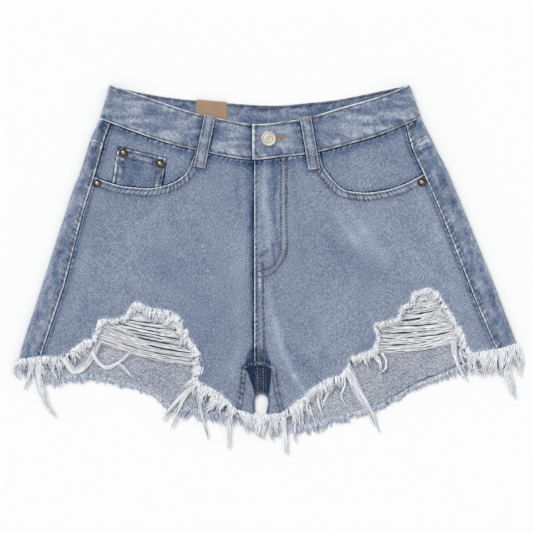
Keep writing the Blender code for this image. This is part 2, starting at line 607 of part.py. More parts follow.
def waistband(name):
    """One folded strip, from the button end round the left fold, the back and the right fold to the
    buttonhole end."""
    lines = []

    def stretch(x_top, x_foot, top, foot, height, inward):
        for top_x, foot_x in zip(x_top, x_foot):
            high = np.array([top_x, top.y_at(top_x)])
            low = np.array([foot_x, foot.y_at(foot_x) + SEAM])
            plan = [low + (high - low) * row for row in BAND_ROWS]
            lines.append([(np.array([*p, height(p[0])]), inward) for p in plan])

    def fold(top_point, foot_point, sign, angles):
        foot_point = np.array(foot_point) + [0.0, SEAM]
        for angle in angles:
            plan = [foot_point + (np.array(top_point) - foot_point) * row for row in BAND_ROWS]
            ends = [turned_edge(p, (sign, 0.0), BAND_TOP / 2.0, [angle]) for p in plan]
            lines.append([(points[0], ways[0]) for points, ways in ends])

    def change(x, start, end, low, high):
        return low + (high - low) * smoothstep((x - start) / (end - start))

    def under(x):
        return change(x, *UNDER_DIP, BAND_TOP, BAND_UNDER)

    def over(x):
        return change(x, *OVER_DROP, BAND_OVER, BAND_TOP)

    reach = BAND_TOP / 2.0
    left_top, left_foot = WAIST_FRONT_TOP[0], WAIST_FRONT_FOOT[0]
    right_top, right_foot = WAIST_FRONT_TOP[-1], WAIST_FRONT_FOOT[-1]
    turn = np.linspace(math.pi, 0.0, FOLD_ANGLES)[1:-1]
    stretch(UNDER_COLUMNS + [left_top[0] + reach], UNDER_COLUMNS + [left_foot[0] + reach],
            front_top, front_foot, under, -UP)
    fold(left_top, left_foot, -1, turn)
    stretch(np.linspace(left_top[0] + reach, right_top[0] - reach, BAND_BACK_COLUMNS),
            np.linspace(left_foot[0] + reach, right_foot[0] - reach, BAND_BACK_COLUMNS),
            back_top, back_foot, lambda x: 0.0, UP)
    fold(right_top, right_foot, 1, turn[::-1])
    stretch([right_top[0] - reach] + OVER_COLUMNS, [right_foot[0] - reach] + OVER_COLUMNS,
            front_top, front_foot, over, -UP)
    outer = np.array([[point for point, _ in line] for line in lines])
    inward = np.array([[way for _, way in line] for line in lines])
    slab(name, outer, outer + inward * BAND, full(outer), DARK_BLUE)


def belt_loop(name, top, foot):
    """A strip over the waistband, down on to the front panel below it."""
    top, foot = np.array(top, float), np.array(foot, float)
    along = (foot - top) / np.hypot(*(foot - top))
    side = np.array([-along[1], along[0]]) * LOOP_WIDTH / 2.0
    band_edge = front_foot.y_at(foot[0])
    off_band = [band_edge - LOOP_STEP[0], band_edge - LOOP_STEP[1]]
    heights = [top[1], (top[1] + band_edge) / 2.0, *off_band, foot[1]]
    plan = []
    level = []
    for y in heights:
        p = top + (foot - top) * (y - top[1]) / (foot[1] - top[1])
        plan.append([p - side, p + side])
        base = BAND_TOP if y >= off_band[0] else float(front_height(*p)) + LOOP_LIFT
        level.append([base + REST + LINING] * 2)
    plan = np.array(plan)
    slab(name, *raised(plan, np.array(level), LINING), full(plan), BLUE)


def waist_patch(name):
    """Plain leather patch on the inside of the back waistband, level with its top edge."""
    x = np.linspace(*PATCH_SIDES, 4)
    top = np.stack([x, back_top.y_at(x) + PATCH_RISE], axis=-1)
    bottom = np.stack([x, np.full(len(x), PATCH_FOOT)], axis=-1)
    plan = np.array([top, bottom])
    height = np.full(plan.shape[:2], BAND + REST + LINING)
    slab(name, *raised(plan, height, LINING), full(plan), TAN)


def turned(name, centre, base, profile, segments, colour):
    """A metal solid of revolution about a vertical axis."""
    points = [(centre[0], centre[1], base + profile[0][1])]
    faces = []
    ring = profile[1:-1]
    for radius, rise in ring:
        for i in range(segments):
            a = 2 * math.pi * i / segments
            points.append((centre[0] + radius * math.cos(a), centre[1] + radius * math.sin(a), base + rise))
    points.append((centre[0], centre[1], base + profile[-1][1]))
    last = len(points) - 1
    for i in range(segments):
        j = (i + 1) % segments
        faces.append((0, 1 + j, 1 + i))
        for level in range(len(ring) - 1):
            low, high = 1 + level * segments, 1 + (level + 1) * segments
            faces.append((low + i, low + j, high + j, high + i))
        high = 1 + (len(ring) - 1) * segments
        faces.append((high + i, high + j, last))
    add_object(name, points, faces, colour, roughness=0.35, metallic=1.0)


def offset_line(points, distance):
    """The line moved sideways, to the right of its run, with mitred corners."""
    points = np.array(points, float)
    way = np.diff(points, axis=0)
    way /= np.hypot(*way.T)[:, None]
    normal = np.stack([way[:, 1], -way[:, 0]], axis=-1)
    before = np.vstack([normal[:1], normal])
    after = np.vstack([normal, normal[-1:]])
    mitre = before + after
    mitre /= np.maximum((mitre * before).sum(axis=1), 0.5)[:, None]
    return points + mitre * distance, mitre / np.hypot(*mitre.T)[:, None]


def inner_turn(before, after):
    """Stretch of strip that a corner takes up where the line turns towards the strip's side."""
    bend = math.atan2(after[0] * before[1] - after[1] * before[0], before @ after)
    return (STRIP_GAP + STRIP_WIDE) * math.tan(np.clip(bend, 0.0, 2.2) / 2.0)


def lock_roots(path, pitch):
    """The path with both sides of each lock's root added, and the places of those roots in it."""
    line = []
    roots = []
    ways = np.diff(path[:, :2], axis=0)
    for i, way in enumerate(ways):
        line.append(path[i])
        length = math.hypot(*way)
        near = inner_turn(ways[i - 1], way) if i > 0 else 0.0
        far = inner_turn(way, ways[i + 1]) if i + 1 < len(ways) else 0.0
        room = length - near - far
        if room < LOCK_LEAST:
            continue
        count = max(1, round(room / pitch))
        for k in range(count):
            roots.append(len(line))
            for side in LOCK_SIDES:
                line.append(path[i] + (path[i + 1] - path[i]) * (near + room / count * (k + side)) / length)
    line.append(path[-1])
    return np.array(line), roots


def strand_rows(plan, level, c, strand, least):
    """Set the points of a long strand from its root down to its tip."""
    bend, tip, width = np.array(strand[2:4]), np.array(strand[4:6]), strand[6]
    root = (plan[1, c] + plan[1, c + 1]) / 2.0
    way = np.sign(plan[1, c + 1, 0] - plan[1, c, 0]) or 1.0
    stops = [(root + (bend - root) * 0.5, 1.0, 0.6), (bend, 0.8, 0.3), (tip, 0.15, 0.0)]
    for r, (middle, share, height) in enumerate(stops, start=2):
        half = np.array([way * width / 2.0 * share, 0.0])
        plan[r, c], plan[r, c + 1] = middle - half, middle + half
        level[r, c:c + 2] = least + (level[1, c] - least) * height


def fringe(name, path, pull, lowest, strands=(), top=None, pitch=FRONT_PITCH):
    """Strip along a torn edge with its locks. It starts at the front's upper face, or at the top given."""
    path, roots = lock_roots(np.array(path, float), pitch)
    line, lengths = path[:, :2], path[:, 2]
    inner, _ = offset_line(line, STRIP_GAP)
    edge, normal = offset_line(line, STRIP_GAP + STRIP_WIDE)
    taken = {}
    for strand in strands:
        away = [math.dist(edge[c], strand[:2]) for c in roots]
        taken[roots[int(np.argmin(away))]] = strand

    rows = 5 if taken else 3
    plan = np.array([inner] + [edge] * (rows - 1))
    start = front_height(inner[:, 0], inner[:, 1]) - STRIP_DROP if top is None else np.full(len(line), top)
    level = np.array([start] * rows)
    cells = np.zeros((rows - 1, len(line) - 1), bool)
    cells[0] = True
    for number, c in enumerate(roots):
        if c in taken:
            strand_rows(plan, level, c, taken[c], lowest + LOCK_THICK)
            cells[1:, c] = True
            continue
        sway = LOCK_SWAY * math.sin(4.1 * number + 0.7)
        out = normal[c] * (1.0 - pull * 0.5) + [sway, -pull]
        beside = any(c2 in taken for c2 in roots[max(0, number - 1):number + 2])
        reach = lengths[c] * (1.0 + LOCK_SPREAD * math.sin(7.3 * number + 1.1 * len(line)))
        reach *= LOCK_BESIDE if beside else 1.0
        middle = (edge[c] + edge[c + 1]) / 2.0 + out / np.hypot(*out) * reach
        half = (edge[c + 1] - edge[c]) * LOCK_TIP / 2.0
        plan[2, c], plan[2, c + 1] = middle - half, middle + half
        level[2, c:c + 2] = max(lowest + LOCK_THICK, level[1, c] - LOCK_SLOPE * reach)
        cells[1, c] = True
    thick = np.full(level.shape, LOCK_THICK)
    thick[:2] = STRIP_THICK
    slab(name, *raised(plan, level, thick), cells, WHITE)


def rip_threads(name, left_edge, right_edge, sag, shares):
    """Weft threads left across a tear, joined at both ends under the cloth."""
    edges = np.concatenate([[0.0], np.cumsum(shares)]) / sum(shares)
    left = Curve(left_edge, smooth=False).at(edges)
    right = Curve(right_edge, smooth=False).at(edges)
    columns = [left - [THREAD_TUCK, 0.0]]
    for stop in THREAD_STOPS:
        drop = np.stack([0.0 * edges, -sag * edges * 4.0 * stop * (1.0 - stop)], axis=-1)
        columns.append(left + (right - left) * stop + drop)
    columns.append(right + [THREAD_TUCK, 0.0])
    plan = np.array(columns)
    cells = full(plan)
    cells[1:-1, 1::2] = False
    slab(name, *raised(plan, np.full(plan.shape[:2], THREAD_TOP), THREAD_THICK), cells, WHITE)


def main():
    for obj in list(bpy.data.objects):
        bpy.data.objects.remove(obj, do_unlink=True)

    waistband("waistband")
    front_panel("front_panel_left", LEFT, CENTRE_FRONT - SEAM, lap=True)
    front_panel("front_panel_right", RIGHT, CENTRE_FRONT + SEAM, lap=False)
    pocket_facing("pocket_facing_left", LEFT)
    pocket_facing("pocket_facing_right", RIGHT)
    coin_pocket("coin_pocket")
    yoke("yoke_left", LEFT)
    yoke("yoke_right", RIGHT)
    left_hem = back_panel("back_panel_left", LEFT, LEFT_GAP)
    right_hem = back_panel("back_panel_right", RIGHT, RIGHT_GAP)
    belt_loop("belt_loop_left", *LOOP_LEFT)
    belt_loop("belt_loop_right", *LOOP_RIGHT)
    waist_patch("waist_patch")

    turned("waist_button", BUTTON_AT, BAND_OVER + REST, BUTTON, 24, SILVER)
    for name, x, y, drop in RIVETS:
        turned(name, (x, y), float(front_height(x, y)) - drop + REST, RIVET, 14, BRASS)

    for name, pull, lowest, path, strands in FRONT_FRINGES:
        fringe(name, path, pull, lowest, strands)
    for name, hem, strands in (("hem_fringe_back_left", left_hem[1:], BACK_STRANDS),
                               ("hem_fringe_back_right", right_hem[:0:-1], ())):
        locks = np.interp(hem[:, 0], *np.transpose(BACK_LOCKS))
        fringe(name, np.column_stack([hem, locks]), BACK_PULL, BACK_FRINGE_TOP - LOCK_THICK, strands,
               BACK_FRINGE_TOP, BACK_PITCH)
    for row in RIP_THREADS:
        rip_threads(*row)


main()
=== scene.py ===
import math
import bpy
import numpy as np
from mathutils.geometry import delaunay_2d_cdt
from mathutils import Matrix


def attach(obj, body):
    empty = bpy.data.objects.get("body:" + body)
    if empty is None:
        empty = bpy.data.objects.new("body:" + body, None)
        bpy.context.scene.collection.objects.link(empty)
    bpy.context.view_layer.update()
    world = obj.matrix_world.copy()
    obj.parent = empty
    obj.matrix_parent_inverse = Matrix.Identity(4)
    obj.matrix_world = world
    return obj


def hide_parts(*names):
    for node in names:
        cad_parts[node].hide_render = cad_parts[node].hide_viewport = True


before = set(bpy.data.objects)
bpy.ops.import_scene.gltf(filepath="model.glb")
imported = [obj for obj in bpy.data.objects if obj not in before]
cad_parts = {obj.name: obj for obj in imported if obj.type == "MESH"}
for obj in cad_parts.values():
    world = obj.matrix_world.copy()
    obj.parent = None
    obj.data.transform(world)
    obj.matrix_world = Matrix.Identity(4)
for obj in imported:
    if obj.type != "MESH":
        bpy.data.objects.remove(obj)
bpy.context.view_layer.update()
print("frame loaded")

# All lengths are in millimetres, turned to metres when a mesh is made.
# +X is the side on the right of the laid shorts, +Y points to the waist, Z is up from the floor.
mm = 0.001
up = np.array([0.0, 0.0, 1.0])

# Thickness and heights of the layers, as in the solids
layers = {
    "denim": 1.2, "lining": 1.0, "band": 2.2, "seamGap": 0.2, "rest": 0.35,
    "frontTop": 5.2, "foldRise": 0.8, "foldStart": 3.0, "foldReach": 32.0, "least": 4.4, "most": 6.2,
    "bandTop": 6.4, "bandOver": 7.4, "bandUnder": 4.9, "facingDrop": 1.6, "coinDrop": 0.3,
}

# Lines of the laid shorts, seen from above: columns x, y
waist = {
    "frontTop": [(-177, 207), (-132, 192), (-87, 177), (-53, 169), (-17, 163), (14, 165),
                 (48, 171), (81, 181), (126, 194), (159, 207)],
    "frontFoot": [(-188, 169), (-154, 156), (-109, 141), (-53, 128), (-17, 123), (14, 126),
                  (48, 130), (81, 138), (126, 151), (172, 170)],
    "backTop": [(-177, 207), (-154, 201), (-109, 193), (-46, 187), (3, 184), (36, 186),
                (81, 191), (126, 200), (159, 207)],
    "backFoot": [(-188, 169), (-154, 160), (-109, 152), (-46, 146), (3, 143), (36, 145),
                 (81, 150), (126, 159), (172, 170)],
}
centre = {"front": -15.0, "back": -7.2, "lapEnd": -4.0, "lapFoot": -68.0, "lapLevel": -88.0,
          "lapDrop": 1.7, "yoke": 90.0, "crossRow": 3.4,
          "cross": [(-24, -110.5), (-15, -107.6), (-6, -107.6), (5, -111.5)]}
leftSide = {
    "sign": -1,
    "fold": [(-188, 169), (-198, 147), (-210, 109), (-220, 84), (-251, -12), (-258, -34),
             (-273, -79), (-279, -101)],
    "seam": [(-176, 164), (-183, 144), (-194, 104), (-207, 62), (-226, -12), (-233, -34),
             (-248, -79), (-254, -98)],
    "yokeFold": 147, "yokeSeam": 142.5,
    "pocket": [(-194, 104), (-182, 99), (-165, 94), (-148, 92), (-132, 91), (-120, 93),
               (-109, 96), (-98, 102), (-90, 110), (-85, 121), (-80, 134)],
    "facing": [(-197, 91), (-182, 86), (-165, 81), (-148, 79), (-132, 78), (-118, 80),
               (-103, 85), (-90, 93), (-78, 105), (-70, 117), (-66, 127)],
    "frontHem": [(-254, -98), (-232, -99), (-226, -96), (-204, -80), (-195, -79), (-188, -57),
                 (-165, -56), (-157, -51), (-153, -42), (-145, -37), (-132, -45), (-109, -48),
                 (-96, -57), (-98, -66), (-78, -92), (-77, -115), (-80, -125), (-64, -134),
                 (-53, -140), (-38, -155), (-30, -159)],
    "backHem": [(-276, -102), (-255, -112), (-232, -118), (-202, -117), (-172, -124),
                (-152, -129), (-129, -137.5), (-107, -154), (-82, -157), (-48, -161), (-14, -164)],
    "inseam": [(-23.5, -111), (-25, -128), (-27, -146), (-30, -159)],
    "inseamRows": (0.9, 5.2),
}
rightSide = {
    "sign": 1,
    "fold": [(172, 170), (182, 150), (191, 131), (204, 105), (252, -12), (260, -33),
             (273, -67), (279, -83)],
    "seam": [(155, 162), (162, 136), (175, 107), (194, 64), (224, -12), (234, -37),
             (250, -75), (257, -90)],
    "yokeFold": 150, "yokeSeam": 141,
    "pocket": [(175, 107), (166, 102), (154, 96), (137, 90), (121, 87), (110, 86), (98, 87),
               (87, 89), (78, 95), (70, 104), (62, 116), (58, 132)],
    "facing": [(180, 93), (170, 89), (156, 83), (138, 77), (120, 74), (97, 74), (78, 77),
               (66, 85), (57, 98), (49, 112), (44, 125)],
    "frontHem": [(257, -90), (231, -94), (222, -88), (219, -72), (204, -49), (190, -26),
                 (180, -22), (163, -27), (161, -37), (150, -43), (146, -55), (132, -59),
                 (120, -62), (124, -77), (119, -90), (109, -94), (94, -99), (90, -110),
                 (81, -120), (68, -123), (46, -137), (44, -142), (36, -147), (25, -156),
                 (15, -163)],
    "backHem": [(276, -84), (260, -92), (238, -99), (216, -108), (199, -116), (185, -122),
                (165, -130), (126, -152), (98, -160), (76, -166), (50, -173), (31, -176),
                (14, -173), (-2, -164)],
    "inseam": [(4.5, -111.5), (5.5, -125), (9, -143), (15, -163)],
    "inseamRows": (0.8, 4.4),
}
sides = {"left": leftSide, "right": rightSide}

# Edge of the gap between the legs: x, y, the way it faces (x, y), and where the cloth turned up over it
# ends (x, y)
legGap = {
    -1: [(-7.2, -139.4, 0.0, -1.0, -7.2, -107.7), (-11.0, -140.3, 0.5, -0.87, -16.0, -108.0),
         (-14.0, -144.0, 0.95, -0.31, -23.5, -111.0), (-14.6, -149.0, 1.0, 0.0, -24.6, -124.0),
         (-14.3, -157.0, 1.0, 0.0, -26.7, -143.0), (-14.0, -164.0, 1.0, 0.0, -30.0, -159.0)],
    1: [(-7.2, -139.4, 0.0, -1.0, -7.2, -107.7), (-3.5, -140.3, -0.5, -0.87, -1.0, -109.0),
        (0.0, -144.0, -0.95, -0.31, 4.5, -111.5), (0.8, -149.0, -1.0, 0.0, 5.4, -124.0),
        (-0.6, -157.0, -1.0, 0.0, 8.7, -142.0), (-2.2, -164.0, -1.0, 0.0, 15.0, -163.0)],
}

# Hollow at the crotch: its middle, depth, and rows of y and half width
hollow = {"x": -10.0, "depth": 2.1, "flat": 0.7, "slope": 0.45, "fade": 16.0,
          "rows": [(-84, 8.0), (-89, 9.5), (-104, 14.5), (-112, 14.5), (-122, 12.5), (-132, 9.5),
                   (-150, 8.0)]}

# Lips of the hollow, where the cloth turns away into the dark: y, left and right x, and the rows of
# stitches that show inside it
lips = [(-86, -17, -3), (-89, -19.6, -0.6), (-96, -23.5, 1.7), (-104, -24.6, 3.4), (-112, -23.5, 4.5),
        (-122, -20.2, 4.1), (-132, -16.2, 2.8), (-143, -14.6, 1.1), (-152, -14.4, 0.0)]
lipsEdge = {"out": 0.5, "soft": 1.3, "above": 3.0, "fade": 8.0}
seatRows = (-11.4, -4.7)
# x and half width of the paler stripes beside those rows, how dark it is there (painted shade in the hollow,
# with darker unfaded dye) and how much paler they are
seatShadeAndDye = {"stripes": [(-13.2, 0.9), (-9.4, 1.6), (-6.6, 0.8), (-2.2, 1.0)], "dark": 0.6, "paler": 0.24}

# Soft folds that the solids have too: x and y of both ends, half width, height
broadFolds = [(2, -76, 44, -136, 6, 0.7), (-26, -84, -58, -132, 8, 0.5), (-60, 96, -44, -30, 14, 0.4),
              (30, 100, 22, -40, 12, 0.4), (-150, 60, -190, -40, 18, -0.5),
              (150, 60, 190, 0, 16, -0.5), (-120, 20, -60, -70, 20, 0.4), (60, 40, 90, -80, 20, -0.4),
              (120, 60, 100, -60, 16, 0.4)]
fullTurn = 6.28


def softStep(value):
    value = np.clip(value, 0.0, 1.0)
    return value * value * (3.0 - 2.0 * value)


def bell(distance, width):  # 1 where the distance is 0, fading over the width
    return np.exp(-(distance / width) ** 2)


def brim(distance, width):  # 1 at an edge, 0 from a width in
    return np.clip(1.0 - distance / width, 0.0, 1.0) ** 2


def smoothLine(points, parts=8):  # Catmull-Rom curve through the points
    points = np.array(points, float)
    ends = np.vstack([2 * points[0] - points[1], points, 2 * points[-1] - points[-2]])
    a, b, c, d = (ends[i:len(ends) - 3 + i][:, None] for i in range(4))
    t = np.linspace(0.0, 1.0, parts, endpoint=False)[None, :, None]
    dense = 0.5 * (2 * b + (c - a) * t + (2 * a - 5 * b + 4 * c - d) * t ** 2
                   + (3 * b - a - 3 * c + d) * t ** 3)
    return np.vstack([dense.reshape(-1, 2), points[-1:]])


def lineRun(line):
    return np.concatenate([[0.0], np.cumsum(np.hypot(*np.diff(line, axis=0).T))])


def pointAt(line, share):
    run = lineRun(line)
    where = np.asarray(share) * run[-1]
    return np.stack([np.interp(where, run, line[:, i]) for i in (0, 1)], axis=-1)


def evenLine(line, step):  # the same line with points at even steps
    line = np.asarray(line, float)
    count = max(1, math.ceil(lineRun(line)[-1] / step))
    return pointAt(line, np.linspace(0.0, 1.0, count + 1))


def yAt(line, x):
    order = np.argsort(line[:, 0])
    return np.interp(x, line[order, 0], line[order, 1])


def xAt(line, y):
    order = np.argsort(line[:, 1])
    return np.interp(y, line[order, 1], line[order, 0])


def nearLine(line, x, y):  # signed distance (positive left of the run) and run of the nearest point
    shape = np.shape(x)
    point = np.stack([np.ravel(x), np.ravel(y)], axis=-1)
    start = line[:-1]
    way = np.diff(line, axis=0)
    length = np.hypot(*way.T)
    run = lineRun(line)
    best = np.full(len(point), 1e9)
    along = np.zeros(len(point))
    side = np.ones(len(point))
    for s, w, l, r in zip(start, way, length, run):
        rel = point - s
        t = np.clip((rel @ w) / (l * l), 0.0, 1.0)
        off = rel - t[:, None] * w
        dist = np.hypot(off[:, 0], off[:, 1])
        closer = dist < best
        best = np.where(closer, dist, best)
        along = np.where(closer, r + t * l, along)
        side = np.where(closer, np.where(w[0] * rel[:, 1] - w[1] * rel[:, 0] >= 0, 1.0, -1.0), side)
    return (best * side).reshape(shape), along.reshape(shape)


def softNoise(x, y, size, seed):  # smooth noise from 0 to 1 with lumps of the given size
    u, v = np.asarray(x, float) / size, np.asarray(y, float) / size
    u0, v0 = np.floor(u), np.floor(v)
    fu, fv = softStep(u - u0), softStep(v - v0)

    def corner(a, b):
        value = np.sin(a * 127.1 + b * 311.7 + seed * 74.7) * 43758.5453
        return value - np.floor(value)

    low = corner(u0, v0) * (1 - fu) + corner(u0 + 1, v0) * fu
    high = corner(u0, v0 + 1) * (1 - fu) + corner(u0 + 1, v0 + 1) * fu
    return low * (1 - fv) + high * fv


def uneven(x, y, size, seed):  # the same noise about 0
    return softNoise(x, y, size, seed) - 0.5


def raised(plan, height):  # points x, y with a height added
    return np.concatenate([plan, height[..., None]], axis=-1)


lines = {name: smoothLine(points) for name, points in waist.items()}
crossSeam = smoothLine(centre["cross"])
for side in sides.values():
    for key in ("fold", "seam", "pocket", "facing", "backHem", "inseam"):
        side[key + "Line"] = smoothLine(side[key])


def foldAlong(x, y, x0, y0, x1, y1, width):  # how far a soft fold between two points reaches
    length = math.hypot(x1 - x0, y1 - y0)
    along = ((x - x0) * (x1 - x0) + (y - y0) * (y1 - y0)) / length
    beyond = np.maximum(np.maximum(-along, along - length), 0.0)
    across = ((x - x0) * (y1 - y0) - (y - y0) * (x1 - x0)) / length
    return np.exp(-(across / width) ** 2 - (beyond / (1.5 * width)) ** 2)


def frontHeight(x, y):  # upper face of the front layer, as in the solids
    inside = np.minimum(x - xAt(leftSide["foldLine"], y), xAt(rightSide["foldLine"], y) - x)
    height = layers["frontTop"] + layers["foldRise"] * bell(np.maximum(inside - layers["foldStart"], 0.0),
                                                            layers["foldReach"])
    for x0, y0, x1, y1, width, rise in broadFolds:
        height = height + rise * foldAlong(x, y, x0, y0, x1, y1, width)
    ys, widths = np.array(hollow["rows"][::-1]).T
    half = np.interp(y, ys, widths)
    deep = 1.0 - softStep((np.abs(x - hollow["x"]) / half - hollow["flat"]) / hollow["slope"])
    fade = softStep((hollow["rows"][0][0] - y) / hollow["fade"])
    return np.clip(height, layers["least"], layers["most"]) - hollow["depth"] * deep * fade


def insideLips(x, y):  # 1 in the hollow, 0 on the cloth beside it
    ys, left, right = np.array(lips[::-1]).T
    inside = np.minimum(x - np.interp(y, ys, left), np.interp(y, ys, right) - x)
    return softStep((inside + lipsEdge["out"]) / lipsEdge["soft"]) * softStep(
        (ys[-1] + lipsEdge["above"] - y) / lipsEdge["fade"])


def seatShade(x):  # painted shade and darker unfaded dye in the hollow, with paler stripes beside the seat's stitches
    return seatShadeAndDye["dark"] - seatShadeAndDye["paler"] * sum(bell(x - at, width) for at, width in seatShadeAndDye["stripes"])


def linear(hexColour):  # sRGB hex to linear
    values = [int(hexColour[i:i + 2], 16) / 255 for i in (0, 2, 4)]
    return (*[v / 12.92 if v <= 0.04045 else ((v + 0.055) / 1.055) ** 2.4 for v in values], 1.0)


def addNode(tree, kind, settings=None, links=None):
    node = tree.nodes.new(kind)
    for key, value in (settings or {}).items():
        if isinstance(key, int) or key in node.inputs:
            node.inputs[key].default_value = value
        else:
            setattr(node, key, value)
    for key, source in (links or {}).items():
        tree.links.new(source, node.inputs[key])
    return node


def newMaterial(name, sockets):
    made = bpy.data.materials.new(name)
    made.use_nodes = True
    shader = made.node_tree.nodes["Principled BSDF"]
    for key, value in sockets.items():
        shader.inputs[key].default_value = value
    return made, made.node_tree, shader


def placeIn(tree):
    return addNode(tree, "ShaderNodeTexCoord").outputs["Object"]


def attribute(tree, label):
    return addNode(tree, "ShaderNodeAttribute", {"attribute_name": label}).outputs["Fac"]


def mapped(tree, place, scale=(1, 1, 1), degrees=0):
    return addNode(tree, "ShaderNodeMapping", {"Rotation": (0, 0, math.radians(degrees)), "Scale": scale},
                   {"Vector": place}).outputs[0]


def noiseAt(tree, place, scale=1.0, detail=3.0, roughness=0.7):
    return addNode(tree, "ShaderNodeTexNoise", {"Scale": scale, "Detail": detail, "Roughness": roughness},
                   {"Vector": place}).outputs["Fac"]


def finishMaterial(tree, shader, value, stops, relief, strength, depth):
    # The value picks a colour from the stops, and the relief stands up for the light to catch on.
    ramp = addNode(tree, "ShaderNodeValToRGB", links={"Fac": value})
    while len(ramp.color_ramp.elements) < len(stops):
        ramp.color_ramp.elements.new(0.5)
    for element, (place, colour) in zip(ramp.color_ramp.elements, stops):
        element.position = place
        element.color = linear(colour)
    tree.links.new(ramp.outputs["Color"], shader.inputs["Base Color"])
    bump = addNode(tree, "ShaderNodeBump", {"Strength": strength, "Distance": depth}, {"Height": relief})
    tree.links.new(bump.outputs["Normal"], shader.inputs["Normal"])


def sumOf(tree, parts):  # adds (source, weight, middle) terms to one value
    total = None
    for source, weight, middle in parts:
        term = addNode(tree, "ShaderNodeMath", {"operation": "MULTIPLY_ADD", 1: weight, 2: -weight * middle},
                       {0: source})
        if total is not None:
            term = addNode(tree, "ShaderNodeMath", {"operation": "ADD"}, {0: total, 1: term.outputs[0]})
        total = term.outputs[0]
    return total


denimLook = {
    # navy where the dye is left and where shade is painted, the worn grey-blue of the face, and the pale
    # thread of rubbed ridges
    "stops": [(0.0, "12243E"), (0.2, "3A5173"), (0.38, "62728F"), (0.5, "7C869A"), (0.64, "98A3B6"),
              (0.82, "B9C5D4"), (1.0, "DCE2E9")],
    # how finely the slubs are drawn, and how much each texture and each seam mark counts: the worn pale line
    # of a turned edge, and the painted shade beside an edge lying on the cloth and in the furrows of stitch
    # rows
    "streak": (900, 300, 400), "slub": 0.25, "speckle": 1.2, "cloud": 0.14, "twill": 0.06,
    "ridge": 0.37, "cover": -0.52, "row": -0.27,
}
# Distances in millimetres to the piece's own turned edge (its worn pale line), to an edge that lies on it
# (the painted shade that edge casts) and to a row of stitches (the painted shade in its furrow), where each
# mark is full and where it has gone
seamWearAndShade = {"ridge": (0.5, 1.8), "cover": (0.2, 2.1), "row": (0.3, 1.5)}


def denimMaterial(name, look, roughness=0.86, sheen=0.15):
    # Stone-washed cotton denim, woven 3/1: a matt face, streaked along the warp, flecked where the white weft
    # shows, navy in the creases, where the tone and the seam marks bring painted shade, and pale on rubbed
    # ridges.
    made, tree, shader = newMaterial(name, {"Roughness": roughness, "Sheen Weight": sheen,
                                            "Sheen Roughness": 0.5, "Specular IOR Level": 0.25})
    place = placeIn(tree)
    # Yarns are 0.5 mm apart, too fine to show, so slubs are drawn 1.1 mm wide and 3 mm long down the face,
    # and 1.6 mm wide and 3 mm long across the wrong side.
    slub = noiseAt(tree, mapped(tree, place, look["streak"]), roughness=0.65)
    # Flecks of weft, drawn 1.6 mm long up the twill instead of 0.5 mm.
    speckle = noiseAt(tree, mapped(tree, place, (1050, 620, 700), -32))
    cloud = noiseAt(tree, place, 70.0, 5.0, 0.65)
    # Twill lines 60 degrees up to the right, drawn 2 mm apart instead of 0.9 mm.
    twill = addNode(tree, "ShaderNodeTexWave", {"Scale": 160.0, "Distortion": 1.2, "Detail": 2.0,
                                                "Detail Scale": 3.0},
                    {"Vector": mapped(tree, place, degrees=-30)}).outputs["Fac"]
    parts = [(attribute(tree, "tone"), 1.0, 0.0), (slub, look["slub"], 0.5),
             (speckle, look["speckle"], 0.5), (cloud, look["cloud"], 0.5), (twill, look["twill"], 0.5)]
    # Seam marks: the worn pale line of the piece's own edge, and painted shade beside an edge lying on it and
    # in stitch furrows
    for label, (start, end) in seamWearAndShade.items():
        wavy = sumOf(tree, [(attribute(tree, label), 1.0, 0.0), (speckle, 2.4, 0.5), (cloud, 3.4, 0.5)])
        near = addNode(tree, "ShaderNodeMapRange", {"interpolation_type": "SMOOTHSTEP", "From Min": start,
                                                    "From Max": end, "To Min": 1.0, "To Max": 0.0},
                       {"Value": wavy})
        parts.append((near.outputs[0], look[label], 0.0))
    grain = sumOf(tree, [(speckle, 0.9, 0.0), (slub, 0.5, 0.0), (twill, 0.2, 0.0)])
    finishMaterial(tree, shader, sumOf(tree, parts), look["stops"], grain, 0.5, 0.0007)
    return made


wrongLook = {
    # the wrong side is mostly white weft with grey-blue flecks of warp
    "stops": [(0.0, "263656"), (0.2, "667085"), (0.5, "9298A6"), (0.75, "B4B8C1"), (1.0, "D9DBE0")],
    "streak": (350, 620, 400), "slub": 1.2, "speckle": 2.6, "cloud": 0.3, "twill": 0.24,
    # the worn pale edge, and painted shade beside covering edges and in stitch furrows
    "ridge": 0.2, "cover": -0.3, "row": -0.1,
}
denimFace = denimMaterial("Washed denim, face", denimLook)
denimWrong = denimMaterial("Washed denim, wrong side", wrongLook, 0.9, 0.1)


def frayedCotton(name, stops):
    # Unpicked cotton yarn: fluffy, matt and off-white, greyer at random and at the tips, with dark yarns that
    # are dyed warp and also paint the shade between the strands.
    made, tree, shader = newMaterial(name, {"Roughness": 0.9, "Sheen Weight": 0.3, "Sheen Roughness": 0.4,
                                            "Specular IOR Level": 0.2})
    fibre = noiseAt(tree, placeIn(tree), 800.0)
    value = sumOf(tree, [(attribute(tree, "tone"), 1.0, 0.0), (fibre, 0.5, 0.5)])
    finishMaterial(tree, shader, value, stops, fibre, 0.4, 0.0004)
    return made


cottonWhite = frayedCotton("Frayed cotton weft", [(0.0, "333F5C"), (0.15, "959AA8"), (0.38, "C3C6CD"),
                                                  (0.56, "E0E3EA"), (0.8, "F1F2F5"), (1.0, "FBFAF9")])
cottonWeft = frayedCotton("Bared cotton weft", [(0.0, "262D42"), (0.15, "888C98"), (0.36, "C2C3C8"),
                                                (0.56, "DEDEE1"), (0.8, "F1F1F3"), (1.0, "FBFBFC")])
cottonBlue = frayedCotton("Frayed cotton warp", [(0.0, "3B4F75"), (0.3, "7F90AE"), (0.55, "B3BED0"),
                                                 (1.0, "E4E7ED")])
print("cloth materials made")


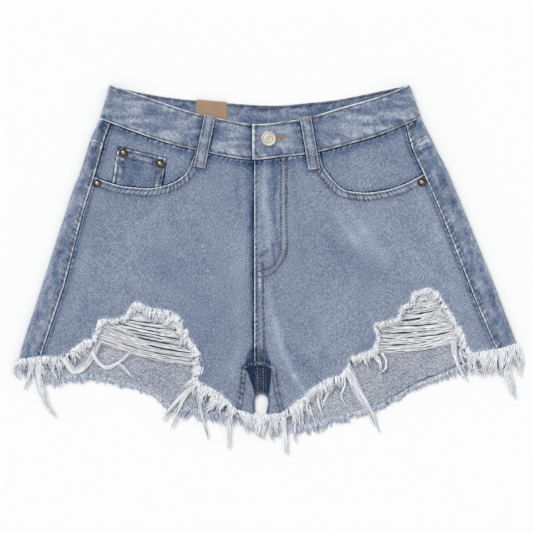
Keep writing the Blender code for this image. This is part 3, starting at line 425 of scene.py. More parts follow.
def meshPiece(name, points, faces, materials, replaced=(), faceMaterial=None, marks=None, smooth=40):
    mesh = bpy.data.meshes.new(name)
    mesh.from_pydata((np.asarray(points) * mm).tolist(), [], [[int(v) for v in face] for face in faces])
    for material in materials:
        mesh.materials.append(material)
    if faceMaterial is not None:
        mesh.polygons.foreach_set("material_index", np.asarray(faceMaterial, np.int32))
    for label, values in (marks or {}).items():
        layer = mesh.attributes.new(label, "FLOAT", "POINT")
        layer.data.foreach_set("value", np.asarray(values, np.float32))
    mesh.update()
    mesh.validate()
    piece = bpy.data.objects.new(name, mesh)
    bpy.context.scene.collection.objects.link(piece)
    bpy.ops.object.select_all(action="DESELECT")
    piece.select_set(True)
    bpy.context.view_layer.objects.active = piece
    bpy.ops.object.shade_smooth_by_angle(angle=math.radians(smooth))
    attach(piece, "root")
    if replaced:
        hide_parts(*replaced)


# Marks on the cloth: tone, and distances in millimetres that the denim shader turns to worn pale lines and
# painted shade
far = 20.0
plainMarks = {"tone": 0.5, "ridge": far, "cover": far, "row": far}
furrow = {"depth": 0.22, "seamDepth": 0.24, "width": 0.75}


def layerMarks(marks, count):  # every mark for a layer of points, plain where none is given
    marks = marks if isinstance(marks, dict) else {"tone": marks}
    return {label: np.zeros(count) + np.ravel(marks.get(label, plain)) for label, plain in plainMarks.items()}


def blankMarks(x, tone):  # marks to be filled in for points at x
    return {label: np.full(np.shape(x), value)
            for label, value in {**plainMarks, "height": 0.0, "tone": tone}.items()}


def closer(marks, label, distance, where=True):  # keeps the lesser distance
    marks[label] = np.where(where, np.minimum(marks[label], distance), marks[label])


def sewnRow(marks, distance):  # the furrow that a row of stitches pulls, and the mark for the painted shade in it
    marks["height"] -= furrow["depth"] * bell(distance, furrow["width"])
    closer(marks, "row", np.abs(distance))


def shellPiece(name, outer, inner, faces, outerMarks, innerMarks, materials, replaced):
    # A wall between two layers of points: faces run over the outer layer, the inner one is turned round.
    faces = [tuple(face) for face in faces]
    count = len(outer)
    edges = set()
    for face in faces:
        edges.update(zip(face, face[1:] + face[:1]))
    rim = [(b, a, a + count, b + count) for a, b in sorted(edges) if (b, a) not in edges]
    inside = [tuple(v + count for v in face[::-1]) for face in faces]
    kinds = [0] * len(faces) + [1] * (len(inside) + len(rim))
    outerMarks, innerMarks = layerMarks(outerMarks, count), layerMarks(innerMarks, count)
    marks = {label: np.concatenate([outerMarks[label], innerMarks[label]]) for label in plainMarks}
    meshPiece(name, np.vstack([outer, inner]), faces + inside + rim, materials, replaced, kinds, marks)


def gridFaces(rows, cols, cells):
    r, c = np.meshgrid(np.arange(rows - 1), np.arange(cols - 1), indexing="ij")
    if cells is not None:
        r, c = r[cells], c[cells]
    a = (r * cols + c).ravel()
    return np.stack([a, a + 1, a + cols + 1, a + cols], axis=-1)


def gridPiece(name, outer, inner, outerMarks, innerMarks, materials, slot, replaced, cells=None):
    # A wall between two grids of points. Faces are turned so that the outer side looks out.
    used, faces = np.unique(gridFaces(*outer.shape[:2], cells), return_inverse=True)
    faces = faces.reshape(-1, 4)
    count = outer[..., 0].size
    outerMarks, innerMarks = ({label: values[used] for label, values in layerMarks(marks, count).items()}
                              for marks in (outerMarks, innerMarks))
    outer, inner = outer.reshape(-1, 3)[used], inner.reshape(-1, 3)[used]
    middle = faces[len(faces) // 2]
    across = np.cross(outer[middle[1]] - outer[middle[0]], outer[middle[3]] - outer[middle[0]])
    if across @ (outer[middle[0]] - inner[middle[0]]) < 0:
        faces = faces[:, ::-1]
    shellPiece(name, outer, inner, faces, outerMarks, innerMarks, materials, replaced)


def coonsGrid(top, bottom, left, right, down=None):  # fills four edges; left and right run down
    u = np.linspace(0.0, 1.0, len(top))[None, :, None]
    v = (np.linspace(0.0, 1.0, len(left)) if down is None else down)[:, None, None]
    top, bottom = np.asarray(top)[None], np.asarray(bottom)[None]
    left, right = np.asarray(left)[:, None], np.asarray(right)[:, None]
    corners = ((1 - u) * (1 - v) * top[:, :1] + u * (1 - v) * top[:, -1:]
               + (1 - u) * v * bottom[:, :1] + u * v * bottom[:, -1:])
    return (1 - v) * top + v * bottom + (1 - u) * left + u * right - corners


# Puckers of a seam: how they lean and sway, how sharp they are, how they fade in and out along it, how strong
# the painted light and shade on them is, and the roll and the brim of a turned edge as height and width
seamLook = {"near": 1.0, "soft": 1.6, "lean": 0.5, "sway": 3.0, "swaySize": 22.0, "wave": 0.3, "drift": 5.0,
            "driftSize": 17.0, "rough": 0.6, "fade": (0.35, 1.1), "fadeSize": 31.0, "puckerShading": 1.3,
            "roll": (0.22, 0.8), "brim": (0.5, 0.8)}

# Seams and hems: how far the turned cloth stands up and how wide it is, where the rows of stitches run (from
# the edge), how high the puckers are and how long, how much painted light and shade they get (paler where
# they rise, darker where they sink), whether the edge is the piece's own (a worn pale line) or lies on it
# (painted shade), and how dark and wide the painted shade beside it is (for a raw edge, a paler frayed rim)
seamColumns = ("fold", "width", "rows", "pucker", "pitch", "puckerShading", "edge", "shade")
seamKinds = {kind: dict(zip(seamColumns, values)) for kind, values in {
    "pocketHem": (0.35, 9.0, (2.6, 8.2), 0.36, 4.6, 0.36, "ridge", (-0.08, 3.0)),
    "sideUnder": (0.0, 3.0, (), 0.2, 6.5, 0.2, "cover", (-0.2, 2.4)),
    "sideOver": (0.4, 5.0, (3.0,), 0.34, 6.0, 0.46, "ridge", (-0.10, 4.0)),
    "waistUnder": (0.0, 3.0, (), 0.16, 6.5, 0.3, "cover", (-0.2, 6.0)),
    "flyOver": (0.35, 4.6, (2.9,), 0.2, 6.5, 0.2, "ridge", (0.0, 3.0)),
    "flyUnder": (0.0, 1.0, (), 0.1, 7.0, 0.10, "cover", (-0.3, 2.2)),
    "row": (0.0, 0.0, (0.0,), 0.14, 5.4, 0.16, "", (-0.04, 2.5)),
    "inseamHem": (0.25, 5.6, (0.9, 4.8), 0.22, 6.0, 0.24, "", (-0.07, 3.0)),
    "rawEdge": (0.0, 1.6, (), 0.24, 4.0, 0.24, "", (0.16, 1.6)),
}.items()}


def addSeam(marks, line, kind, x, y, turn, seed):  # what a seam does to the cloth near its line
    spec, look = seamKinds[kind], seamLook
    distance, run = nearLine(line, x, y)
    both = spec["edge"] == ""
    d = np.abs(distance) if both else distance * turn
    near = d > -look["near"]
    width = spec["width"]
    height = spec["fold"] * (1.0 - softStep((d - width) / look["soft"]))
    # each row pulls a furrow and marks the painted shade in it
    for row in spec["rows"]:
        height = height - furrow["seamDepth"] * bell(d - row, furrow["width"])
        closer(marks, "row", np.abs(d - row), near)
    lean = run + look["lean"] * d + look["sway"] * softNoise(run, d, look["swaySize"], seed)
    drift = look["drift"] * softNoise(run, 0.3 * d, look["driftSize"], seed + 7)
    pucker = look["wave"] * np.sin(fullTurn * lean / spec["pitch"] + drift)
    pucker = pucker + look["rough"] * uneven(lean, d * 0.35, spec["pitch"] * 0.5, seed + 3)
    middle = width / 2.0
    window = bell(np.maximum(np.abs(d - middle) - 0.6 * middle, 0.0), 1.4 + 0.2 * middle)
    fading = look["fade"][0] + look["fade"][1] * softNoise(run, d * 0.2, look["fadeSize"], seed + 5)
    height = height + spec["pucker"] * 2.0 * pucker * window * fading
    # painted shade beside the seam; a raw edge's positive depth gives a paler frayed rim instead
    depth, reach = spec["shade"]
    tone = depth * bell(np.maximum(d - width, 0.0), reach) * (0.6 + 0.8 * softNoise(run, d, 14.0, seed + 8))
    tone = tone * (1.0 if depth > 0 else softStep((d - width) / 1.0 + 1.0))
    # painted light and shade on the puckers: paler where they rise, darker where they sink
    tone = tone + spec["puckerShading"] * look["puckerShading"] * pucker * window * fading
    if spec["edge"] == "ridge":
        (roll, rollWidth), (drop, brimWidth) = look["roll"], look["brim"]
        height = height + roll * bell(d - 1.0, rollWidth) - drop * brim(d, brimWidth)
    # an own edge marks its worn pale line, an edge lying on the cloth the painted shade it casts
    if not both:
        closer(marks, spec["edge"], np.maximum(d, 0.0), near)
    marks["height"] = marks["height"] + height * near
    marks["tone"] = marks["tone"] + tone * near


def insideOf(outline, x, y):  # whether points lie inside a closed outline
    inside = np.zeros(len(x), bool)
    for (x0, y0), (x1, y1) in zip(outline, np.roll(outline, -1, axis=0)):
        if y0 != y1:
            inside ^= ((y0 > y) != (y1 > y)) & (x < (x1 - x0) * (y - y0) / (y1 - y0) + x0)
    return inside


def hexPoints(outline, step):
    low, high = outline.min(axis=0), outline.max(axis=0)
    xs = np.arange(low[0], high[0], step)
    ys = np.arange(low[1], high[1], step * 0.866)
    x, y = np.meshgrid(xs, ys)
    x[1::2] += step / 2
    return x.ravel(), y.ravel()


def clothPlan(outline, detail, fine, coarse, reach):  # triangles inside an outline, finer near its lines
    closed = np.vstack([outline, outline[:1]])
    chosen = [outline]
    for step, wantNear in ((fine, True), (coarse, False)):
        x, y = hexPoints(outline, step)
        inside = insideOf(outline, x, y)
        x, y = x[inside], y[inside]
        edge = np.abs(nearLine(closed, x, y)[0])
        nearest = edge
        for line in detail:
            nearest = np.minimum(nearest, np.abs(nearLine(line, x, y)[0]))
        keep = (edge > 0.45 * step) & ((nearest < reach) == wantNear)
        chosen.append(np.stack([x[keep], y[keep]], axis=-1))
    points = np.vstack(chosen)
    count = len(outline)
    ring = [(i, (i + 1) % count) for i in range(count)]
    made = delaunay_2d_cdt([tuple(p) for p in points], ring, [], 1, 1e-5)
    plan = np.array([(v[0], v[1]) for v in made[0]])
    faces = [tuple(face) for face in made[2]]
    a, b, c = (plan[[face[i] for face in faces]] for i in range(3))
    area = (b[:, 0] - a[:, 0]) * (c[:, 1] - a[:, 1]) - (b[:, 1] - a[:, 1]) * (c[:, 0] - a[:, 0])
    faces = [face if turn > 0 else face[::-1] for face, turn in zip(faces, area)]
    return plan, faces


# Fine creases of the fronts: x and y of both ends, half width, height, tone (paler along worn ridges, darker
# where it is painted shade in sunken creases and beside the fly)
frontCreases = [
     (6, 121, 8, 52, 2.2, -0.35, -0.2), (2, 100, 4, 66, 1.6, -0.25, -0.12),
    (11, 122, 10, 88, 2, -0.3, -0.16), (-3, 118, -4, 66, 2.6, 0.35, 0.12), (0, 62, 1, 24, 3, 0.3, 0.1),
    (-7, 16, -1, 21, 2.4, -0.3, -0.2), (10, 44, 12, 20, 1.8, -0.25, -0.12),
    (18, 116, 18, 24, 1.3, 0.25, 0.07), (28, 118, 33, 70, 3, -0.3, -0.06),
    (-36, 118, -32, 60, 4, -0.3, -0.07), (-22, 124, -19, 46, 4.2, -0.35, -0.14),
    (-20, 46, -18, -22, 2.6, -0.2, -0.09), (-1, -18, 5, -46, 3.4, 0.3, 0.05),
    (8, -58, 15, -84, 3.2, 0.35, 0.11), (18, -93, 30, -119, 3.2, 0.45, 0.14),
    (33, -124, 41, -136, 3.4, 0.45, 0.12), (3, -30, 13, -84, 9, 0.2, 0.04),
    (24, -84, 58, -128, 6, -0.4, -0.05), (-30, 30, -33, -60, 8, 0.3, 0.04),
    (6, -8, 10, -40, 6, -0.2, -0.05), (-9, -0.5, -8.8, -5.5, 1.3, 0.3, 0.3),
    (-8.6, -10, -8.2, -20, 1.3, 0.3, 0.26), (6.5, 28, 7.5, 11, 1.6, -0.25, -0.2),
    (76, 64, 98, 32, 5, 0.35, 0.06), (98, 32, 112, 6, 6, 0.3, 0.05), (70, 36, 84, 6, 6, -0.3, -0.05),
    (-30, -80, -40, -120, 4, 0.3, 0.05), (-60, -60, -84, -110, 6, -0.3, -0.03),
    (-120, 70, -170, 10, 7, 0.3, 0.03), (-70, 60, -110, -10, 9, -0.25, -0.02),
    (80, 60, 130, 10, 8, 0.3, 0.03), (150, 30, 200, -20, 6, 0.3, 0.03), (50, -20, 70, -90, 7, 0.3, 0.02),
    (-200, 30, -215, -50, 5, 0.3, 0.04), (198, 20, 214, -40, 5, 0.3, 0.04), (84, 78, 108, 44, 5.5, 0, 0.06),
    (108, 44, 130, 18, 6, 0, 0.05), (166, 84, 194, 36, 7, 0, 0.05), (86, 24, 118, -2, 8, 0, -0.04),
    (110, -40, 60, -100, 5, -0.3, -0.03), (-150, -10, -100, -30, 6, 0.25, 0.02),
]
fly = {
    "topRow": [(-12.2, 120), (-12.2, 40), (-11.6, 0), (-10.4, -60), (-10.1, -107)],
    "secondRow": [(-5.6, 7.0), (-5.0, -30), (-3.7, -78), (-3.6, -107)],
    "innerJ": [(14.9, 123), (14.9, 60), (14.9, 30), (14.2, 18), (6.5, 5.2), (-3.1, -0.4), (-11.5, -1.8)],
    "outerJ": [(21.1, 124), (21.1, 60), (21.8, 24), (16.8, 9.1), (6.5, -3.8), (-5.0, -7.7), (-12.9, -8.2)],
}
flyLines = {name: evenLine(smoothLine(points), 4.0) for name, points in fly.items()}


def normalsOf(line):  # unit ways to the left of the run
    way = np.gradient(line, axis=0)
    return np.stack([-way[:, 1], way[:, 0]], axis=-1) / np.hypot(*way.T)[:, None]


def raggedLine(points, step, rough, seed):  # a torn edge: the line with uneven nicks
    line = evenLine(points, step)
    run = lineRun(line)
    shift = rough * (uneven(run, 0 * run, 5.0, seed) * 1.6 + uneven(run, 0 * run, 1.7, seed + 1))
    shift[0] = shift[-1] = 0.0
    return line - normalsOf(line) * shift[:, None]


def frontSeams(side):
    sign = side["sign"]
    seams = [(evenLine(side["pocketLine"], 3.0), "pocketHem", sign),
             (evenLine(side["seamLine"], 4.0), "sideUnder", -sign),
             (evenLine(lines["frontFoot"], 4.0), "waistUnder", -1),
             (np.array([(centre["front"], 125.0), (centre["front"], -107.0)]),
              "flyOver" if sign > 0 else "flyUnder", sign),
             (evenLine(side["inseamLine"], 3.0), "inseamHem", sign),
             (side["hemLine"], "rawEdge", 1)]
    if sign > 0:
        seams += [(flyLines[name], "row", 1) for name in ("secondRow", "innerJ", "outerJ")]
    return seams


loops = {"left": ((-64.4, 172.0), (-76.3, 114.5)), "right": ((42.4, 170.5), (52.4, 112.5)),
         "width": 12.5, "step": (2.5, 7.0), "lift": 0.15, "row": 2.1, "tackIn": 3.4, "tackHalf": 4.4}


def loopOffset(word, x, y):  # how far sideways a point lies from the middle of a belt loop
    (x0, y0), (x1, y1) = loops[word]
    length = math.hypot(x1 - x0, y1 - y0)
    return ((x - x0) * (y1 - y0) - (y - y0) * (x1 - x0)) / length


def besideLoop(word, x, y):  # how far outside a belt loop a point lies
    (x0, y0), (x1, y1) = loops[word]
    length = math.hypot(x1 - x0, y1 - y0)
    past = ((x - x0) * (x1 - x0) + (y - y0) * (y1 - y0)) / length - length
    aside = np.abs(loopOffset(word, x, y)) - loops["width"] / 2.0
    return np.hypot(np.maximum(aside, 0.0), np.maximum(past, 0.0))


# Tones of the fronts: where the right one grows paler, the shade round the loops; in the hollow the pale
# edge under the cross seam, the shade all over, low down, above the stitches and at the seam; and blotches.
# Each is how much, then where and how wide. The lap is how far under the fly the left front steps down.
frontLook = {"tone": 0.5, "paler": (0.03, -30.0, 40.0), "loopShade": (0.24, 4.5), "hollow": 0.14,
             "seamEdge": (0.24, 1.8, 1.1), "low": (0.12, -82.0, 14.0), "above": (0.14, 7.0, 2.6),
             "seam": (0.16, 0.7), "blotches": ((0.06, 40.0, 5), (0.03, 9.0, 6)), "lap": (4.0, 3.6, 20.0)}


def frontMarks(side, x, y):  # height and marks of a front
    look = frontLook
    paler, start, reach = look["paler"]
    marks = blankMarks(x, look["tone"] + paler * softStep((x - start) / reach))
    marks["height"] = marks["height"] + frontHeight(x, y)
    # a crease's tone: paler along worn ridges, painted shade in sunken creases
    for x0, y0, x1, y1, width, rise, paler in frontCreases:
        reach = foldAlong(x, y, x0, y0, x1, y1, width)
        marks["height"] = marks["height"] + rise * reach
        marks["tone"] = marks["tone"] + paler * reach
    for i, (line, kind, turn) in enumerate(frontSeams(side)):
        addSeam(marks, line, kind, x, y, turn, 11.0 * i + side["sign"])
    dark, reach = look["loopShade"]
    for word in sides:
        marks["tone"] -= dark * bell(besideLoop(word, x, y), reach)
    above = y - yAt(crossSeam, x)
    hollowTone = -look["hollow"] - look["seam"][0] * bell(above, look["seam"][1])
    for turn, (amount, place, width) in ((1, look["seamEdge"]), (-1, look["above"])):
        hollowTone = hollowTone + turn * amount * bell(above - place, width)
    dark, start, reach = look["low"]
    marks["tone"] += insideLips(x, y) * (hollowTone - dark * softStep((start - y) / reach))
    # painted shade in the cross seam's stitch furrow
    closer(marks, "row", np.abs(above - centre["crossRow"]) + far * (1.0 - insideLips(x, y)))
    marks["tone"] += sum(amount * uneven(x, y, size, seed) for amount, size, seed in look["blotches"])
    if side["sign"] < 0:
        before, width, reach = look["lap"]
        drop = softStep((x - (centre["front"] - before)) / width)
        marks["height"] -= centre["lapDrop"] * drop * softStep((y - centre["lapLevel"]) / reach)
    return marks


def frontOutline(side):
    sign = side["sign"]
    gap = layers["seamGap"]
    seamX, seamY = side["pocket"][0]
    mouthEnd = side["pocket"][-1][0]
    mouth = side["pocketLine"].copy()
    mouth[-1, 1] = yAt(lines["frontFoot"], mouthEnd) - gap
    edgeX = centre["lapEnd"] if sign < 0 else centre["front"] + gap
    waistX = np.linspace(mouthEnd, edgeX, 60)
    top = np.stack([waistX, yAt(lines["frontFoot"], waistX) - gap], axis=-1)
    if sign < 0:
        foot, innerX = centre["lapFoot"], centre["front"] - gap
        down = [(edgeX, y) for y in np.arange(118.0, foot, -2.0)] + [(edgeX, foot), (innerX, foot)]
        down += [(innerX, y) for y in np.arange(foot - 2, -106.0, -2.0)]
        crossX = np.linspace(innerX, -23.5, 6)
    else:
        down = [(edgeX, y) for y in np.arange(118.0, -106.0, -2.0)]
        crossX = np.linspace(edgeX, 4.5, 10)
    cross = np.stack([crossX, yAt(crossSeam, crossX) + gap], axis=-1)
    inseam = evenLine(side["inseamLine"], 1.6) + [sign * gap, 0.0]
    hem = side["hemLine"][::-1]
    seamRun = np.arange(hem[-1, 1] + 2.0, seamY - 1.0, 2.0)
    seam = np.stack([xAt(side["seamLine"], seamRun) - sign * gap, seamRun], axis=-1)
    start = np.array([[seamX - sign * gap, seamY]])
    outline = np.vstack([start, evenLine(mouth, 1.6)[1:], top[1:], down, cross, inseam[1:-1], hem[1:], seam])
    steps = np.hypot(*(outline - np.roll(outline, 1, axis=0)).T)
    return outline[steps > 0.25]


# Spacing of the fronts' points near and away from edges and sewing, and how far near reaches
frontPlan = {"fine": 1.15, "coarse": 2.8, "reach": 10.0}
for side in sides.values():
    side["hemLine"] = raggedLine(side["frontHem"], 1.5, 1.4, 40 + side["sign"])


def makeFront(side, word):
    detail = [flyLines[name] for name in ("innerJ", "outerJ", "secondRow")] if side["sign"] > 0 else []
    plan, faces = clothPlan(frontOutline(side), detail, **frontPlan)
    marks = frontMarks(side, plan[:, 0], plan[:, 1])
    outer = raised(plan, marks["height"])
    shellPiece(f"front_{word}_cloth", outer, outer - up * layers["denim"], faces, marks, 0.5,
               [denimFace, denimWrong], [f"front_panel_{word}"])


for word, side in sides.items():
    makeFront(side, word)
print("fronts made")


coinPocket = {"top": ((-167.4, 137.4), (-113.7, 124.5)), "foot": (-173.8, -119.2), "clear": 0.9,
              "topRows": (2.4, 9.6), "sideRows": (3.2, 9.6), "drop": 44.0, "tone": 0.39,
              "blotch": (0.16, 9.0),  # amount and size
              # puckers of its seams: length, height, how much painted light and shade they get, and how wide
              # their band is and fades
              "pucker": (2.8, 0.5, 0.6), "band": (7.0, 3.0)}


def coinEdges(x, y):  # distances in from the top and the two sides
    (x0, y0), (x1, y1) = coinPocket["top"]
    length = math.hypot(x1 - x0, y1 - y0)
    fromTop = -((x - x0) * (y0 - y1) / length + (y - y0) * (x1 - x0) / length)
    lean = [(foot - top[0]) / coinPocket["drop"] for foot, top in zip(coinPocket["foot"], coinPocket["top"])]
    fromLeft = (x - x0) - lean[0] * (y0 - y)
    fromRight = (x1 - x) + lean[1] * (y1 - y)
    return fromTop, fromLeft, fromRight


def makeFacing(side, word):
    sign = side["sign"]
    bottom = pointAt(side["facingLine"], np.linspace(0.0, 1.0, 76))
    seamY = np.linspace(side["seam"][0][1] - 2.0, bottom[0, 1], 40)
    left = np.stack([xAt(side["seamLine"], seamY) - sign * 2 * layers["seamGap"], seamY], axis=-1)
    bottom[0] = left[-1]
    topX = np.linspace(left[0, 0], bottom[-1, 0], len(bottom))
    top = np.stack([topX, yAt(lines["frontFoot"], topX) - layers["seamGap"]], axis=-1)
    left[0] = top[0]
    plan = coonsGrid(top, bottom, left, np.linspace(top[-1], bottom[-1], len(left)))
    marks = facingMarks(side, plan[..., 0], plan[..., 1])
    outer = raised(plan, marks["height"])
    gridPiece(f"pocket_facing_{word}_cloth", outer, outer - up * layers["lining"], marks, 0.5,
              [denimFace, denimWrong], "denim", [f"pocket_facing_{word}"])


def facingMarks(side, x, y):
    marks = blankMarks(x, 0.5)
    marks["height"] = frontHeight(x, y) - layers["facingDrop"]
    marks["tone"] += 0.10 * uneven(x, y, 26.0, 15)
    mouth = np.abs(nearLine(side["pocketLine"], x, y)[0])
    # painted shade under the front's pocket edge: a thin dark line and a wider darkening
    closer(marks, "cover", mouth)
    marks["tone"] -= 0.10 * bell(mouth, 5.0)
    for line, kind, turn in ((side["seamLine"], "sideUnder", -side["sign"]),
                             (lines["frontFoot"], "waistUnder", -1)):
        addSeam(marks, evenLine(line, 4.0), kind, x, y, turn, 60.0)
    # painted shade round the coin pocket that lies on the facing
    if side["sign"] < 0:
        closer(marks, "cover", np.maximum(-np.min(coinEdges(x, y), axis=0), 0.0))
    return marks


for word, side in sides.items():
    makeFacing(side, word)


def coinMarks(x, y):
    marks = blankMarks(x, coinPocket["tone"])
    marks["height"] = frontHeight(x, y) - layers["coinDrop"]
    amount, size = coinPocket["blotch"]
    marks["tone"] += amount * uneven(x, y, size, 25)
    pitch, rise, paler = coinPocket["pucker"]
    wide, fade = coinPocket["band"]
    fromTop, fromLeft, fromRight = coinEdges(x, y)
    for distance, along, rows, seed, worn in ((fromTop, x, coinPocket["topRows"], 70.0, 0.6),
                                              (fromLeft, y, coinPocket["sideRows"], 72.0, 0.8),
                                              (fromRight, y, coinPocket["sideRows"], 74.0, 0.8)):
        for row in rows:
            sewnRow(marks, distance - row)
        pucker = uneven(along + 0.4 * distance, distance * 0.4, pitch, seed)
        window = bell(np.maximum(distance - wide, 0.0), fade)
        marks["height"] += rise * pucker * window
        # painted light and shade on the puckers, paler where they rise
        marks["tone"] += paler * pucker * window
        closer(marks, "ridge", np.maximum(distance * worn, 0.0))
    # painted shade cast by the front's pocket edge
    closer(marks, "cover", np.abs(nearLine(leftSide["pocketLine"], x, y)[0]))
    return marks


def makeCoinPocket():
    top = np.linspace(*coinPocket["top"], 42)
    footX = np.linspace(*coinPocket["foot"], len(top))
    bottom = np.stack([footX, yAt(leftSide["pocketLine"], footX) + coinPocket["clear"]], axis=-1)
    left, right = (np.linspace(top[end], bottom[end], 32) for end in (0, -1))
    plan = coonsGrid(top, bottom, left, right)
    marks = coinMarks(plan[..., 0], plan[..., 1])
    outer = raised(plan, marks["height"])
    gridPiece("coin_pocket_cloth", outer, outer - up * layers["lining"], marks, 0.5, [denimFace, denimWrong],
              "denim_dark", ["coin_pocket"])


makeCoinPocket()
print("pockets made")


# innerTone is the inside of the back band, darker as painted shade where it lies low behind the front band
band = {"row": 2.5, "innerRow": 2.0, "edgeRound": 0.9, "underEnd": 22.0, "underDip": (-29.0, -18.5),
        "overDrop": (24.0, 36.0), "endX": -17.3, "endRow": 3.8, "tone": 0.515, "innerTone": 0.43,
        # how far apart its columns are, and its rows from the lower edge to the upper: start, end, count
        "step": 1.3, "rows": ((0.0, 0.16, 7), (0.195, 0.805, 17), (0.84, 1.0, 7))}


def turnedEdge(point, facing, radius, angles):  # outer points and inward ways round an edge
    facing = np.array([*facing, 0.0]) / math.hypot(*facing)
    axis = np.array([*point, 0.0]) - facing * radius + up * radius
    inward = np.array([-facing * math.sin(a) + up * math.cos(a) for a in angles])
    return axis - inward * radius, inward


# Wear, and painted light and shade, of the waistband: blotches as amount, squeeze along and across, and size;
# the puckers' length, height and painted light and shade, and how far they reach from the top, the foot and
# the end; the dip of the stitches, the bulge of the edge, and the shades beside the loops and the end
bandWearAndShade = {"blotches": ((0.34, 0.35, 1.6, 6.5), (0.14, 0.8, 1.4, 3.0)), "pucker": (3.0, 0.5, 0.36),
            "reach": (6.0, 8.0, 3.0), "endShare": 0.36, "dip": (0.25, 0.8), "bulge": (0.2, 1.1, 0.8),
            "brim": 1.1, "loopShade": (0.2, 6.0), "endShade": (0.18, 5.0)}


def bandMarks(x, y, top, foot, base, seed, tone, overEnd=False):  # what sewing and wear do to the waistband, with painted light and shade
    marks = blankMarks(x, tone)
    marks["tone"] += sum(amount * uneven(x * along, y * across, size, seed + number)
                         for number, (amount, along, across, size) in enumerate(bandWearAndShade["blotches"]))
    inner = tone == band["innerTone"]
    # distance from each edge, the way along it, its row, how much it counts
    edges = [(yAt(top, x) - y, x, band["innerRow"] if inner else band["row"], 1.0),
             (y - yAt(foot, x), x, band["row"], 1.0)]
    if overEnd:
        edges.append((x - band["endX"], y, band["endRow"], bandWearAndShade["endShare"]))
    pitch, rise, paler = bandWearAndShade["pucker"]
    dip, dipWidth = bandWearAndShade["dip"]
    bulge, bulgeAt, bulgeWidth = bandWearAndShade["bulge"]
    for number, (distance, along, row, share) in enumerate(edges):
        distance = np.maximum(distance * 0.95, 0.0)
        # the row marks the painted shade in the stitch furrow
        closer(marks, "row", np.abs(distance - row))
        closer(marks, "ridge", distance * share + inner)
        pucker = uneven(along + 0.5 * distance, distance * 0.3, pitch, seed + 2 + number)
        window = bell(np.maximum(distance - 2.0, 0.0), bandWearAndShade["reach"][number])
        marks["height"] += (rise * pucker * window - dip * bell(distance - row, dipWidth)
                            + bulge * bell(distance - bulgeAt, bulgeWidth)
                            - band["edgeRound"] * brim(distance, bandWearAndShade["brim"]))
        # painted light and shade on the puckers
        marks["tone"] += paler * pucker * window
    if not inner:  # the shade and dark dye beside the belt loops and the overlapping end
        beside = [(besideLoop(word, x, y), *bandWearAndShade["loopShade"]) for word in sides]
        if not overEnd:
            beside.append((np.abs(x - band["endX"]), *bandWearAndShade["endShade"]))
        for distance, dark, reach in beside:
            closer(marks, "cover", distance)
            marks["tone"] -= dark * bell(distance, reach)
    marks["height"] += base
    return marks


